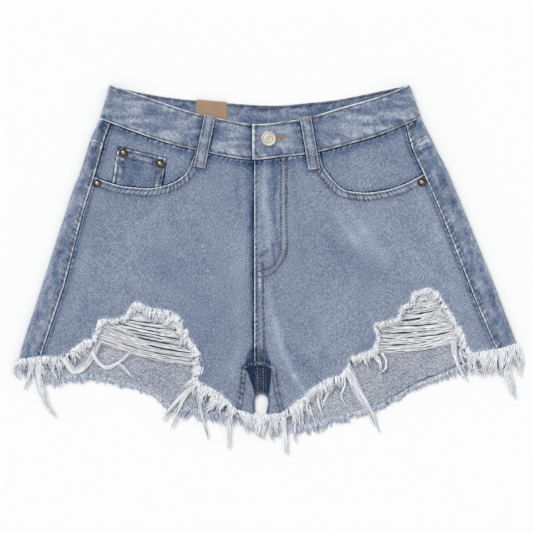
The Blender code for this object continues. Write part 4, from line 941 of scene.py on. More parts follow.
def makeWaistband():
    rows = np.concatenate([np.linspace(*part) for part in band["rows"]])
    layersMade = []  # outer points, inner points, outer marks, inner marks of each stretch

    def change(x, start, end, low, high):
        return low + (high - low) * softStep((x - start) / (end - start))

    def under(x):
        return change(x, *band["underDip"], layers["bandTop"], layers["bandUnder"])

    def over(x):
        return change(x, *band["overDrop"], layers["bandOver"], layers["bandTop"])

    def stretch(firstTop, firstFoot, lastTop, lastFoot, level, seed, overEnd=False):
        edge = "front" if level else "back"
        top, foot = lines[edge + "Top"], lines[edge + "Foot"]
        share = np.linspace(0.0, 1.0, math.ceil(abs(lastTop - firstTop) / band["step"]) + 1)
        if overEnd:  # closer columns at the buttonhole end
            share = 1.0 - (1.0 - share) ** 1.15
        share = share[:, None]
        r = rows[None]
        topX, footX = firstTop + (lastTop - firstTop) * share, firstFoot + (lastFoot - firstFoot) * share
        highY, lowY = yAt(top, topX), yAt(foot, footX) + layers["seamGap"]
        x, y = footX + (topX - footX) * r, lowY + (highY - lowY) * r
        plan = np.stack([x, y], axis=-1)
        if level:  # the outer face is on top
            base = level(x) * np.ones_like(y)
            marks = bandMarks(x, y, top, foot, base, seed, band["tone"], overEnd)
            layersMade.append((raised(plan, marks["height"]), raised(plan, base - layers["band"]), marks,
                               blankMarks(x, band["innerTone"])))
        else:  # the outer face lies on the floor and the inner one shows
            marks = bandMarks(x, y, top, foot, 0 * x + layers["band"], seed, band["innerTone"])
            below = blankMarks(x, band["tone"])
            below["tone"] += 0.3 * uneven(x * 0.35, y * 1.6, 6.5, 90.0)
            below["ridge"] = np.maximum(np.minimum(yAt(top, x) - y, y - yAt(foot, x)), 0.0)
            # the row marks the painted shade in the stitch furrows
            below["row"] = np.abs(below["ridge"] - band["row"])
            layersMade.append((raised(plan, 0 * x), raised(plan, marks["height"]), below, marks))

    def fold(topPoint, footPoint, sign, angles):
        topPoint, footPoint = np.array(topPoint, float), np.array(footPoint, float) + [0.0, layers["seamGap"]]
        for angle in angles:
            plan = [footPoint + (topPoint - footPoint) * r for r in rows]
            ends = [turnedEdge(p, (sign, 0.0), reach, [angle]) for p in plan]
            points, ways = (np.array([e[i][0] for e in ends]) for i in (0, 1))
            marks = blankMarks(rows[None], band["tone"] + 0.06)
            marks["tone"] = marks["tone"] + 0.2 * uneven(rows[None] * 40.0, angle * 3.0, 4.0, 86)
            marks["ridge"] = np.minimum(rows, 1.0 - rows)[None] * np.hypot(*(topPoint - footPoint))
            # the row marks the painted shade in the stitch furrows
            marks["row"] = np.abs(marks["ridge"] - band["row"])
            layersMade.append((points[None], (points + ways * layers["band"])[None], marks,
                               blankMarks(rows[None], band["innerTone"])))

    reach = layers["bandTop"] / 2.0
    leftTop, leftFoot, rightTop, rightFoot = (waist[key][end][0] for end in (0, -1)
                                              for key in ("frontTop", "frontFoot"))
    turn = np.linspace(math.pi, 0.0, 12)[1:-1]
    stretch(band["underEnd"], band["underEnd"], leftTop + reach, leftFoot + reach, under, 80.0)
    fold(waist["frontTop"][0], waist["frontFoot"][0], -1, turn)
    stretch(leftTop + reach, leftFoot + reach, rightTop - reach, rightFoot - reach, None, 84.0)
    fold(waist["frontTop"][-1], waist["frontFoot"][-1], 1, turn[::-1])
    stretch(rightTop - reach, rightFoot - reach, band["endX"], band["endX"], over, 88.0, overEnd=True)
    outer, inner, *marks = zip(*layersMade)
    joined = [{label: np.concatenate([m[label] for m in layer]) for label in plainMarks} for layer in marks]
    gridPiece("waistband_cloth", np.concatenate(outer), np.concatenate(inner), *joined,
              [denimFace, denimFace], "denim_dark", ["waistband"])


makeWaistband()
print("waistband made")


yokeRows = (2.0, 8.0)  # stitches below the yoke seam
# The folded strip: its tone, blotches as amount, squeeze, size and seed, the pale fold and the shade beside
# it, and along the yoke seam the puckers' length, height and tone (painted light and shade, and a paler
# band), their band and the painted shade below
stripLook = {"tone": 0.52, "blotches": ((0.16, 1.6, 15.0, 33), (0.24, 1.4, 5.0, 35)), "fold": (0.14, 3.5),
             "beside": (0.10, 9.0, 4.0), "pucker": (2.9, (0.45, 0.25), (0.42, 0.15)), "band": (5.0, 4.0, 1.6),
             "below": (0.2, 12.0, 3.0)}


def belowYoke(side, x, y):  # distance below the yoke seam on the strip that is folded to the front
    share = np.clip(np.abs(x - xAt(side["seamLine"], y)) / 20.0, 0.0, 1.0)
    return side["yokeSeam"] + (side["yokeFold"] - side["yokeSeam"]) * share - y


def stripMarks(side, x, y):  # the part of a back or yoke that is folded over to the front
    look = stripLook
    marks = blankMarks(x, look["tone"] - 0.01 * side["sign"])
    marks["height"] += frontHeight(x, y)
    marks["tone"] += sum(amount * uneven(x * squeeze, y, size, seed)
                         for amount, squeeze, size, seed in look["blotches"])
    addSeam(marks, evenLine(side["seamLine"], 4.0), "sideOver", x, y, side["sign"], 30.0)
    fromFold = np.abs(x - xAt(side["foldLine"], y))
    marks["tone"] += look["fold"][0] * bell(fromFold, look["fold"][1])
    dark, place, width = look["beside"]
    marks["tone"] -= dark * bell(fromFold - place, width)
    below = belowYoke(side, x, y)
    for row in yokeRows:
        sewnRow(marks, below - row)
    # below the seam the back's own edge has a worn pale line; above it is the painted shade that edge casts
    # on the yoke
    closer(marks, "ridge", below, below > 0)
    closer(marks, "cover", -below, below <= 0)
    pitch, *amounts = look["pucker"]
    middle, half, fade = look["band"]
    pucker = uneven(x + 0.4 * below, below * 0.4, pitch, 37)
    window = bell(np.maximum(np.abs(below - middle) - half, 0.0), fade)
    # painted light and shade on the puckers, and a paler band between the rows
    for label, (amount, lift) in zip(("height", "tone"), amounts):
        marks[label] += (amount * pucker + lift) * window
    dark, place, width = look["below"]
    marks["tone"] -= dark * bell(below - place, width)
    addSeam(marks, evenLine(lines["frontFoot"], 4.0), "waistUnder", x, y, -1, 34.0)
    return marks


def edgeRow(first, last, yOf, count):
    x = np.linspace(first[0], last[0], count)
    row = np.stack([x, yOf(x)], axis=-1)
    row[0], row[-1] = first, last
    return row


# Wear, and painted light and shade, of the backs where they lie on the floor: blotches as amount, size and
# seed, how much paler the folds are, and the painted light and shade that stands for puckers below the yoke
# seam as amount, length, where and how wide
underWearAndShade = {"blotches": ((0.16, 42.0, 57), (0.06, 11.0, 58)), "fold": 0.08, "pucker": (0.2, 3.0, 5.0, 4.0)}


def undersideTone(side, x, y):
    tone = sum((amount * uneven(x, y, size, seed) for amount, size, seed in underWearAndShade["blotches"]), 0.5)
    for x0, y0, x1, y1, width, _ in broadFolds:
        tone = tone + underWearAndShade["fold"] * foldAlong(x, y, x1, y0, x0, y1, width)
    # painted light and shade in place of puckers, with no relief under them
    amount, pitch, place, width = underWearAndShade["pucker"]
    return tone + amount * uneven(x, y, pitch, 59) * bell(yokeSeamLine(side, 0.0)(x) - y - place, width)


# Counts for the yokes and backs: points across the floor part, angles round the fold, rows of a yoke,
# rows in the gap between the legs and above it; stops on the flap as start, end, count
backLook = {"columns": 44, "foldAngles": 9, "yokeRows": 26, "gapRows": 26, "rowsAbove": 130,
            "flap": ((0.0, 0.3, 9), (0.3, 1.0, 15)), "turnStops": 15, "swell": (0.5, 26.0, 0.4)}
# Their tones: mean, amount and size of blotches on the side fold, on the cloth turned up between the legs and
# on the wrong side; the turn itself, darker as painted shade at the gap between the legs; the frayed hem's
# paleness and width; the row torn bare above it as amount, place, width, where it begins and over what
# length, and how patchy it is
backTones = {"fold": (0.56, 0.2, 4.0), "flat": (0.5, 0.12, 4.0), "inner": (0.57, 0.16, 30.0), "turn": 0.3,
             "hem": (0.22, 1.2), "bare": (0.9, 2.4, 0.9, 90.0, 100.0), "patchy": (0.2, 0.9, 9.0)}


def makeBackPiece(name, side, topLine, foldY, seamY, backEdge, bottomLine, gapRows, rows, replaced):
    sign, denim = side["sign"], layers["denim"]
    columns, foldAngles = backLook["columns"], backLook["foldAngles"]
    flapStops = np.concatenate([np.linspace(*part)[:-1] for part in backLook["flap"]])
    turnStops = np.linspace(0.0, 1.0, backLook["turnStops"])[1:, None]
    fy, sy = (ends[0] + (ends[1] - ends[0]) * rows for ends in (foldY, seamY))
    fx = xAt(side["foldLine"], fy)
    radius = frontHeight(fx - sign * layers["foldStart"], fy) / 2.0
    tangent = np.stack([fx - sign * radius, fy], axis=-1)
    start = np.stack([xAt(side["seamLine"], sy) + sign * layers["seamGap"], sy], axis=-1)
    top, bottom = (edgeRow(tangent[end], backEdge[end], line, columns)
                   for end, line in ((0, topLine), (-1, bottomLine)))
    flat = coonsGrid(top, bottom, tangent, backEdge, rows)
    flap = start[:, None] + (tangent - start)[:, None] * flapStops[None, :, None]
    strip = stripMarks(side, flap[..., 0], flap[..., 1])
    angles = np.linspace(math.pi, 0.0, foldAngles)
    turnColumns = foldAngles - 1 + len(turnStops) if len(gapRows) else 0
    firstGap = len(rows) - len(gapRows)
    rise, lump, most = backLook["swell"]
    swell = np.clip(rise * softNoise(flat[..., 0], flat[..., 1], lump, 44), 0.0, most)
    foldTone, foldBlotch, foldSize = backTones["fold"]
    flatTone, flatBlotch, flatSize = backTones["flat"]
    innerTone, innerBlotch, innerSize = backTones["inner"]
    hemTone, hemWidth = backTones["hem"]
    bare, bareAt, bareWidth, bareFrom, bareOver = backTones["bare"]
    least, more, patch = backTones["patchy"]
    outer, inner, outTones, innerTones = [], [], [], []
    for r in range(len(rows)):
        # across a row: the flap on the front, the turn at the fold and the part on the floor
        face = np.column_stack([flap[r], strip["height"][r]])
        points, ways = turnedEdge((fx[r], fy[r]), (sign, 0.0), radius[r], angles[:-1])
        ground = raised(flat[r], np.zeros(columns))
        out = [face, points, ground]
        into = [face - up * denim, points + ways * denim, ground + up * (denim + swell[r])[:, None]]
        tone = [strip["tone"][r],
                foldTone + foldBlotch * uneven(fy[r] + 0 * angles[:-1], angles[:-1], foldSize, 39),
                undersideTone(side, ground[:, 0], ground[:, 1])]
        if turnColumns and r >= firstGap:  # and the cloth turned up in the gap between the legs
            x, y, facingX, facingY, endX, endY = gapRows[r - firstGap]
            points, ways = turnedEdge((x, y), (facingX, facingY), float(frontHeight(x, y)) / 2.0,
                                      angles[::-1][1:])
            rest = points[-1][:2] + (np.array([endX, endY]) - points[-1][:2]) * turnStops
            restTop = raised(rest, frontHeight(rest[:, 0], rest[:, 1]))
            out += [points, restTop]
            into += [points + ways * denim, restTop - up * denim]
            # the turn at the gap is darker as painted shade; the cloth in the hollow gets painted shade with
            # darker unfaded dye
            tone += [np.full(len(points), backTones["turn"]),
                     flatTone - seatShade(rest[:, 0]) * insideLips(rest[:, 0], rest[:, 1])
                     + flatBlotch * uneven(rest[:, 0], rest[:, 1], flatSize, 47)]
        elif turnColumns:
            out.append(np.repeat(ground[-1:], turnColumns, axis=0))
            into.append(out[-1] + up * denim)
            tone.append(np.full(turnColumns, flatTone))
        outer.append(np.vstack(out))
        inner.append(np.vstack(into))
        outTones.append(np.concatenate(tone))
        x, y = inner[-1][:, 0], inner[-1][:, 1]
        fromHem = y - bottomLine(x)
        innerTones.append(innerTone + innerBlotch * uneven(x, y, innerSize, 49)
                          + hemTone * bell(fromHem, hemWidth)
                          - bare * bell(fromHem - bareAt, bareWidth) * softStep((x - bareFrom) / bareOver)
                          * (least + more * softNoise(x, 0.0 * x, patch, 64)))
    outer, inner = np.array(outer), np.array(inner)
    marks = {label: np.full(outer.shape[:2], far) for label in seamWearAndShade}
    for label, values in marks.items():
        values[:, :flap.shape[1]] = strip[label]
    marks["tone"] = np.array(outTones)
    under = slice(flap.shape[1] + foldAngles - 1, flap.shape[1] + foldAngles - 1 + columns)
    x, y = outer[:, under, 0], outer[:, under, 1]
    # under the floor part: painted shade along the yoke and back seams' edges and in their stitch furrows
    seams = (np.abs(yokeSeamLine(side, 0.0)(x) - y), np.abs(x - centre["back"]))
    for label, offsets in (("cover", (0.0,)), ("row", yokeRows)):
        marks[label][:, under] = np.min([np.abs(d - offset) for d in seams for offset in offsets], axis=0)
    cells = np.ones((outer.shape[0] - 1, outer.shape[1] - 1), bool)
    if turnColumns:
        x, y = outer[:, -turnColumns:, 0], outer[:, -turnColumns:, 1]
        # in the hollow: painted shade in the seat's stitch furrows and below the cross seam's edge
        marks["row"][:, -turnColumns:] = np.minimum(*(np.abs(x - row) for row in seatRows))
        marks["cover"][:, -turnColumns:] = np.abs(yAt(crossSeam, x) - 1.2 - y)
        cells[:firstGap, -turnColumns:] = False
    gridPiece(name, outer, inner, marks, np.array(innerTones), [denimFace, denimWrong], "denim", replaced,
              cells)


def yokeSeamLine(side, lift):
    foldX = float(xAt(side["foldLine"], side["yokeFold"]))
    xs, ys = np.array([foldX, centre["back"]]), np.array([side["yokeFold"], centre["yoke"]])
    order = np.argsort(xs)
    return lambda x: np.interp(x, xs[order], ys[order]) + lift


def makeYoke(side, word):
    sign = side["sign"]
    gap = layers["seamGap"]
    rows = np.linspace(0.0, 1.0, backLook["yokeRows"])
    middle = centre["back"] + sign * gap
    edge = np.linspace((middle, yAt(lines["backFoot"], middle) - gap), (middle, centre["yoke"] + gap),
                       len(rows))
    foldX = side["fold"][0][0] - sign * layers["bandTop"] / 2.0
    waistFold = min(yAt(lines["frontFoot"], foldX), yAt(lines["backFoot"], foldX)) - 2 * gap
    waistSeam = yAt(lines["frontFoot"], side["seam"][0][0]) - 2 * gap
    makeBackPiece(f"yoke_{word}_cloth", side, lambda x: yAt(lines["backFoot"], x) - gap,
                  (waistFold, side["yokeFold"] + gap), (waistSeam, side["yokeSeam"] + gap), edge,
                  yokeSeamLine(side, gap), [], rows, [f"yoke_{word}"])


def makeBack(side, word):
    sign = side["sign"]
    gap = layers["seamGap"]
    middle = centre["back"] + sign * gap
    table = [list(row) for row in legGap[sign]]
    table[0][0] = table[0][4] = middle
    for i, row in enumerate(table):
        if i < 3:
            row[5] = float(yAt(crossSeam, row[4])) - 1.5 * gap
        if i > 1:
            row[4] -= sign * gap
    share = np.linspace(0.0, len(table) - 1.0, backLook["gapRows"])
    gapRows = np.stack([np.interp(share, np.arange(len(table)), column) for column in zip(*table)], axis=-1)
    edge = []
    for x, y, *facing in gapRows[:, :4]:
        radius, size = float(frontHeight(x, y)) / 2.0, math.hypot(*facing)
        edge.append((x - facing[0] / size * radius, y - facing[1] / size * radius))
    start = centre["yoke"] - gap
    above = [(middle, start + (edge[0][1] - start) * part)
             for part in np.linspace(0.0, 0.988, backLook["rowsAbove"])]
    edge = np.array(above + edge)
    rows = (edge[0, 1] - edge[:, 1]) / (edge[0, 1] - edge[-1, 1])
    hem = raggedLine(side["backHem"], 1.5, 1.0, 50 + sign)
    makeBackPiece(f"back_{word}_cloth", side, yokeSeamLine(side, -gap),
                  *((side["yoke" + end] - gap, side[end.lower()][-1][1]) for end in ("Fold", "Seam")),
                  edge, lambda x: yAt(hem, x), gapRows, rows, [f"back_panel_{word}"])


for make in (makeYoke, makeBack):
    for word, side in sides.items():
        make(side, word)
print("backs and yokes made")


def loopLevel(x, y):  # height of a belt loop's upper face
    edge = yAt(lines["frontFoot"], x)
    onBand = layers["bandTop"]
    below = frontHeight(x, y) + loops["lift"]
    share = softStep((edge - loops["step"][0] - y) / (loops["step"][1] - loops["step"][0]))
    return onBand + (below - onBand) * share + layers["rest"] + layers["lining"]


def loopFrame(word):  # ends of a belt loop, its length, the way along it and the way across
    top, foot = (np.array(p, float) for p in loops[word])
    length = np.hypot(*(foot - top))
    along = (foot - top) / length
    return top, foot, length, along, np.array([-along[1], along[0]])


# Form, wear, and painted light and shade of a belt loop: points across and along, its tone, the puckers'
# length, height and painted light and shade, the dip of its stitches, the bulge of the fold, the round edge,
# the dip at its tacks, and the worn edge
loopWearAndShade = {"grid": (16, 54), "tone": 0.56, "pucker": (2.8, 0.2, 0.22), "dip": (0.2, 0.7),
            "bulge": (0.3, 6.2, 2.4), "brim": (0.4, 0.9), "tackDip": (0.35, 1.3), "worn": (0.2, 1.0, 1.8)}


def makeLoop(word):
    top, foot, length, _, side = loopFrame(word)
    u = np.linspace(-0.5, 0.5, loopWearAndShade["grid"][0])
    v = np.linspace(0.0, 1.0, loopWearAndShade["grid"][1])[:, None]
    plan = (top + (foot - top) * v)[:, None] + side * (u * loops["width"])[None, :, None]
    x, y = plan[..., 0], plan[..., 1]
    fromEdge = (0.5 - np.abs(u))[None] * loops["width"] + 0.0 * x
    fromEnd = np.minimum(v, 1.0 - v) * length + 0.0 * x
    marks = blankMarks(x, loopWearAndShade["tone"])
    pitch, rise, paler = loopWearAndShade["pucker"]
    dip, dipWidth = loopWearAndShade["dip"]
    edge, edgeWidth = loopWearAndShade["brim"]
    tackDip, tackWidth = loopWearAndShade["tackDip"]
    bulge, bulgeAt, bulgeWidth = loopWearAndShade["bulge"]
    pucker = uneven(y + 0.4 * x, x * 0.3, pitch, 91)
    marks["height"] = (loopLevel(x, y) - dip * bell(fromEdge - loops["row"], dipWidth)
                       + bulge * bell(fromEdge - bulgeAt, bulgeWidth) + rise * pucker
                       - edge * brim(fromEdge, edgeWidth)
                       - tackDip * bell(fromEnd - loops["tackIn"], tackWidth))
    # painted light and shade on the puckers, and painted shade in the stitch furrows
    marks["tone"] += paler * pucker
    marks["row"] = np.minimum(np.abs(fromEdge - loops["row"]), 3.0)
    least, more, patch = loopWearAndShade["worn"]
    marks["ridge"] = np.minimum(fromEdge, fromEnd) + least + more * softNoise(x, y, patch, 92)
    gridPiece(f"belt_loop_{word}_cloth", raised(plan, marks["height"]),
              raised(plan, loopLevel(x, y) - layers["lining"]), marks, 0.4, [denimFace, denimFace], "denim",
              [f"belt_loop_{word}"])


for word in sides:
    makeLoop(word)


def leatherMaterial():
    # Vegetable-tanned leather, thin and undyed: a warm matt tan with fine pores and paler rubbed edges.
    made, tree, shader = newMaterial("Undyed tan leather", {"Roughness": 0.62, "Specular IOR Level": 0.4})
    place = placeIn(tree)
    # Pores are 0.2 mm apart, too fine to show, so the grain is drawn 0.8 mm across.
    pores = addNode(tree, "ShaderNodeTexVoronoi", {"Scale": 1300.0, "Randomness": 1.0},
                    {"Vector": place}).outputs["Distance"]
    value = sumOf(tree, [(attribute(tree, "tone"), 1.0, 0.0), (pores, 0.14, 0.5),
                         (noiseAt(tree, place, 120.0, 4.0, 0.5), 0.3, 0.5)])
    stops = [(0.0, "755643"), (0.35, "96785F"), (0.55, "A5896F"), (1.0, "C0A78B")]
    finishMaterial(tree, shader, value, stops, pores, 0.3, 0.0003)
    return made


leather = leatherMaterial()
patch = {"sides": (-79.3, -45.8), "foot": 160.0, "rise": 1.0, "thick": 1.0}


def makePatch():
    leftX, rightX = patch["sides"]
    x = np.linspace(leftX, rightX, 30)
    topY = yAt(lines["backTop"], x) + patch["rise"]
    y = topY + (patch["foot"] - topY) * np.linspace(0.0, 1.0, 28)[:, None]
    x = np.broadcast_to(x, y.shape)
    fromEdge = np.min([x - leftX, rightX - x, topY - y, y - patch["foot"]], axis=0)
    foot = layers["band"] + layers["rest"]
    height = foot + patch["thick"] + 0.25 * uneven(x, y, 14.0, 97)
    height = height - 0.35 * brim(fromEdge, 1.2)
    plan = np.stack([x, y], axis=-1)
    gridPiece("waist_patch_leather", raised(plan, height), raised(plan, 0 * x + foot),
              0.5 + 0.12 * bell(fromEdge, 1.2), 0.4, [leather, leather], "tan_leather", ["waist_patch"])


makePatch()
print("belt loops and patch made")


# Frayed edges: each is a row of clumps of fine twisted yarns, rooted under the torn edge
def tubeFaces(threads, stops, sides):
    ring = np.arange(sides)
    after = (ring + 1) % sides
    first = np.arange(stops - 1)[:, None] * sides
    walls = np.stack([first + ring, first + sides + ring, first + sides + after, first + after], axis=-1)
    base = (np.arange(threads) * stops * sides)[:, None, None]
    walls = (walls.reshape(-1, 4)[None] + base).reshape(-1, 4).tolist()
    ends = [(end[None] + base[:, 0]).tolist() for end in (ring, (stops - 1) * sides + ring[::-1])]
    return walls + ends[0] + ends[1]


def tubePoints(paths, radii, sides):  # paths are thread, stop, xyz
    way = np.gradient(paths, axis=1)
    way /= np.maximum(np.linalg.norm(way, axis=2, keepdims=True), 1e-9)
    side = np.cross(way, up)
    short = np.linalg.norm(side, axis=2, keepdims=True)
    side = np.where(short > 0.05, side / np.maximum(short, 1e-9), [1.0, 0.0, 0.0])
    normal = np.cross(side, way)
    angle = np.arange(sides) * 2 * math.pi / sides + 0.5
    ring = (np.cos(angle)[:, None] * side[:, :, None] + np.sin(angle)[:, None] * normal[:, :, None])
    return (paths[:, :, None] + radii[:, :, None, None] * ring).reshape(-1, 3)


def yarnPiece(name, sets, material, sides=3):  # sets of paths, radii and tones joined into one mesh
    points, faces, tones = [], [], []
    count = 0
    for paths, radii, tone in sets:
        threads, stops = paths.shape[:2]
        points.append(tubePoints(paths, radii, sides))
        faces += [[v + count for v in face] for face in tubeFaces(threads, stops, sides)]
        count += threads * stops * sides
        tones.append(np.repeat(tone, sides, axis=1).ravel())
    meshPiece(name + "_yarns", np.vstack(points), faces, [material], [name], None,
              {"tone": np.concatenate(tones)}, 80)


# the share of dark yarns is dyed warp that also paints the shade between the strands
fringeLook = {"clump": (3.4, 6.0), "threads": (14, 23), "radius": 0.46, "tip": 0.22, "stops": 9,
              "spread": 1.6, "gather": 0.9, "wobble": 0.55, "slope": 0.22, "lap": (0.2, 2.0),
              "lift": (0.0, 0.6), "curls": 2.6, "curl": (1.4, 4.6), "over": 2.2, "dyedAndShaded": 0.1,
              "waves": (1.5, 3.5)}


def cubicPaths(corners, stops):
    t = np.linspace(0.0, 1.0, stops)[None, :, None]
    weights = ((1 - t) ** 3, 3 * (1 - t) ** 2 * t, 3 * (1 - t) * t ** 2, t ** 3)
    return sum(weight * np.array(corner)[:, None] for weight, corner in zip(weights, zip(*corners)))


def wobbled(paths, amount, rng):
    threads, stops = paths.shape[:2]
    t = np.linspace(0.0, 1.0, stops)[None]
    for axis in (0, 1):
        phase = rng.uniform(0, fullTurn, (threads, 1))
        turns = rng.uniform(*fringeLook["waves"], (threads, 1))
        paths[:, :, axis] += amount * np.sin(phase + fullTurn * turns * t) * np.minimum(1.0, 3 * t)
    paths[:, :, 2] += 0.3 * amount * np.sin(rng.uniform(0, fullTurn, (threads, 1)) + 12.0 * t)
    return paths


def hangingFrom(line, share, pull):  # point on a torn edge and the way its yarns hang there
    base = pointAt(line, share)
    ahead = pointAt(line, min(1.0, share + 0.01)) - pointAt(line, max(0.0, share - 0.01))
    ahead /= np.hypot(*ahead)
    out = np.array([ahead[1], -ahead[0]]) * (1.0 - 0.5 * pull) + [0.0, -pull]
    return base, out / max(np.hypot(*out), 1e-6)


def fringeThreads(rows, pull, lowest, rng, level, look):
    # Clumps of yarn come over the edge and hang, and short curls cover the edge between them.
    rows = np.array(rows, float)
    line = rows[:, :2]
    run = lineRun(line)
    total = run[-1]
    corners = []

    def topAt(point):
        return frontHeight(*point) if level is None else level

    s = rng.uniform(0.0, 2.0)
    while s < total:
        base, out = hangingFrom(line, s / total, pull)
        sway = float(softNoise(np.array([s]), np.array([total]), 14.0, 62)[0]) - 0.5
        angle = rng.normal(0.0, 0.22) + 0.8 * sway
        out = np.array([out[0] * math.cos(angle) - out[1] * math.sin(angle),
                        out[0] * math.sin(angle) + out[1] * math.cos(angle)])
        side = np.array([-out[1], out[0]])
        reach = np.interp(s, run, rows[:, 2]) * rng.uniform(0.7, 1.2)
        bow = rng.normal(-0.06, 0.18) * reach
        gather = look["gather"] * rng.uniform(0.5, 1.5)
        top = topAt(base)
        for _ in range(rng.integers(*look["threads"])):
            shift = rng.normal(0.0, look["spread"])
            part = reach * rng.uniform(0.6, 1.0)
            root = pointAt(line, np.clip((s + shift) / total, 0.0, 1.0)) - out * rng.uniform(*look["lap"])
            tip = base + out * part + side * (0.5 * shift + rng.normal(0.0, gather))
            bulge = base + out * 0.25 * part + side * (1.25 * shift + 0.5 * bow)
            middle = base + out * 0.7 * part + side * (0.8 * shift + bow + rng.normal(0.0, 0.5))
            high = top + rng.uniform(*look["lift"])
            low = max(lowest + rng.uniform(0.0, 1.3), top - look["slope"] * part - rng.uniform(0.0, 1.0))
            corners.append([[*root, high], [*bulge, high + 0.7], [*middle, max(low, top - 0.9)], [*tip, low]])
        s += rng.uniform(*look["clump"])
    for s in np.arange(0.0, total, 1.0 / look["curls"]):
        base, out = hangingFrom(line, s / total, pull)
        other = pointAt(line, np.clip((s + rng.normal(0.0, 2.2)) / total, 0.0, 1.0))
        patchy = float(softNoise(np.array([s]), np.array([total]), 7.0, 61)[0])
        reach = rng.uniform(*look["curl"]) * (0.55 + 0.06 * min(np.interp(s, run, rows[:, 2]), 16.0))
        reach *= 0.3 + 1.3 * patchy
        high = topAt(base) + rng.uniform(-0.2, 0.7)
        low = max(lowest + 0.5, high - rng.uniform(0.4, 1.4))
        start = base - out * rng.uniform(-0.6, 0.8 + look["over"] * patchy)
        end = other + out * rng.uniform(-0.6, 1.8)
        corners.append([[*start, high], [*(start + out * (1.2 * reach + 1.0)), high + 0.5],
                        [*(other + out * 1.5 * reach), low + 0.3], [*end, low]])
    return wobbled(cubicPaths(corners, look["stops"]), look["wobble"], rng)


def twistedThreads(bundles, rng, lowest, stops=15):
    # Long loose bundles, as their width and the points they run through, twisted and thinner to the tip.
    # One that comes back up to the cloth is a loop, whole and as wide all along.
    made = []
    share = np.linspace(0.0, 1.0, stops)
    for width, *places in bundles:
        line = smoothLine(np.reshape(places, (-1, 2)), 5)
        top = frontHeight(*line[0]) + 0.4
        looped = len(places) > 10 and line[-1][1] > line[len(line) // 2][1]
        for _ in range(int(4.6 * width) + 3):
            u = share * (1.0 if looped else rng.uniform(0.75, 1.0))
            middle = pointAt(line, u)
            ahead = np.gradient(middle, axis=0)
            ahead /= np.maximum(np.hypot(*ahead.T), 1e-6)[:, None]
            turn = rng.uniform(0, fullTurn) + fullTurn * rng.uniform(0.1, 0.7) * u
            off = width * rng.normal(0.0, 0.24) * (1.0 - (0.1 if looped else 0.68) * u)
            aside = np.stack([-ahead[:, 1], ahead[:, 0]], axis=-1)
            plan = middle + (off * (0.8 + 0.4 * np.sin(turn)))[:, None] * aside
            down = softStep(u / 0.35) * (softStep((1.0 - u) / 0.35) if looped else 1.0)
            level = top + (lowest + 0.9 - top) * down + rng.uniform(0.0, 0.9) * np.cos(turn)
            made.append(raised(plan, np.maximum(level, lowest)))
    return np.array(made)


def makeFringe(name, rows, pull, lowest, bundles, seed, level=None, material=cottonWhite, look=fringeLook):
    rng = np.random.default_rng(seed)
    drawn = [fringeThreads(rows, pull, lowest, rng, level, look)]
    if len(bundles):
        drawn.append(wobbled(twistedThreads(bundles, rng, lowest), 0.45, rng))
    sets = []
    for paths, dyedAndShaded in zip(drawn, (look["dyedAndShaded"], 0)):
        threads, stops = paths.shape[:2]
        t = np.linspace(0.0, 1.0, stops)[None]
        radii = look["radius"] + (look["tip"] - look["radius"]) * t ** 2
        radii = radii * rng.uniform(0.75, 1.25, (threads, 1))
        # a random grey per yarn, greyer tips, and dark yarns: dyed warp that also paints the shade between
        # the strands
        tones = (0.66 + 0.34 * rng.uniform(-1, 1, (threads, 1)) - 0.2 * t ** 3
                 - 0.5 * (rng.uniform(0, 1, (threads, 1)) < dyedAndShaded))
        sets.append((paths, radii, tones))
    yarnPiece(name, sets, material)


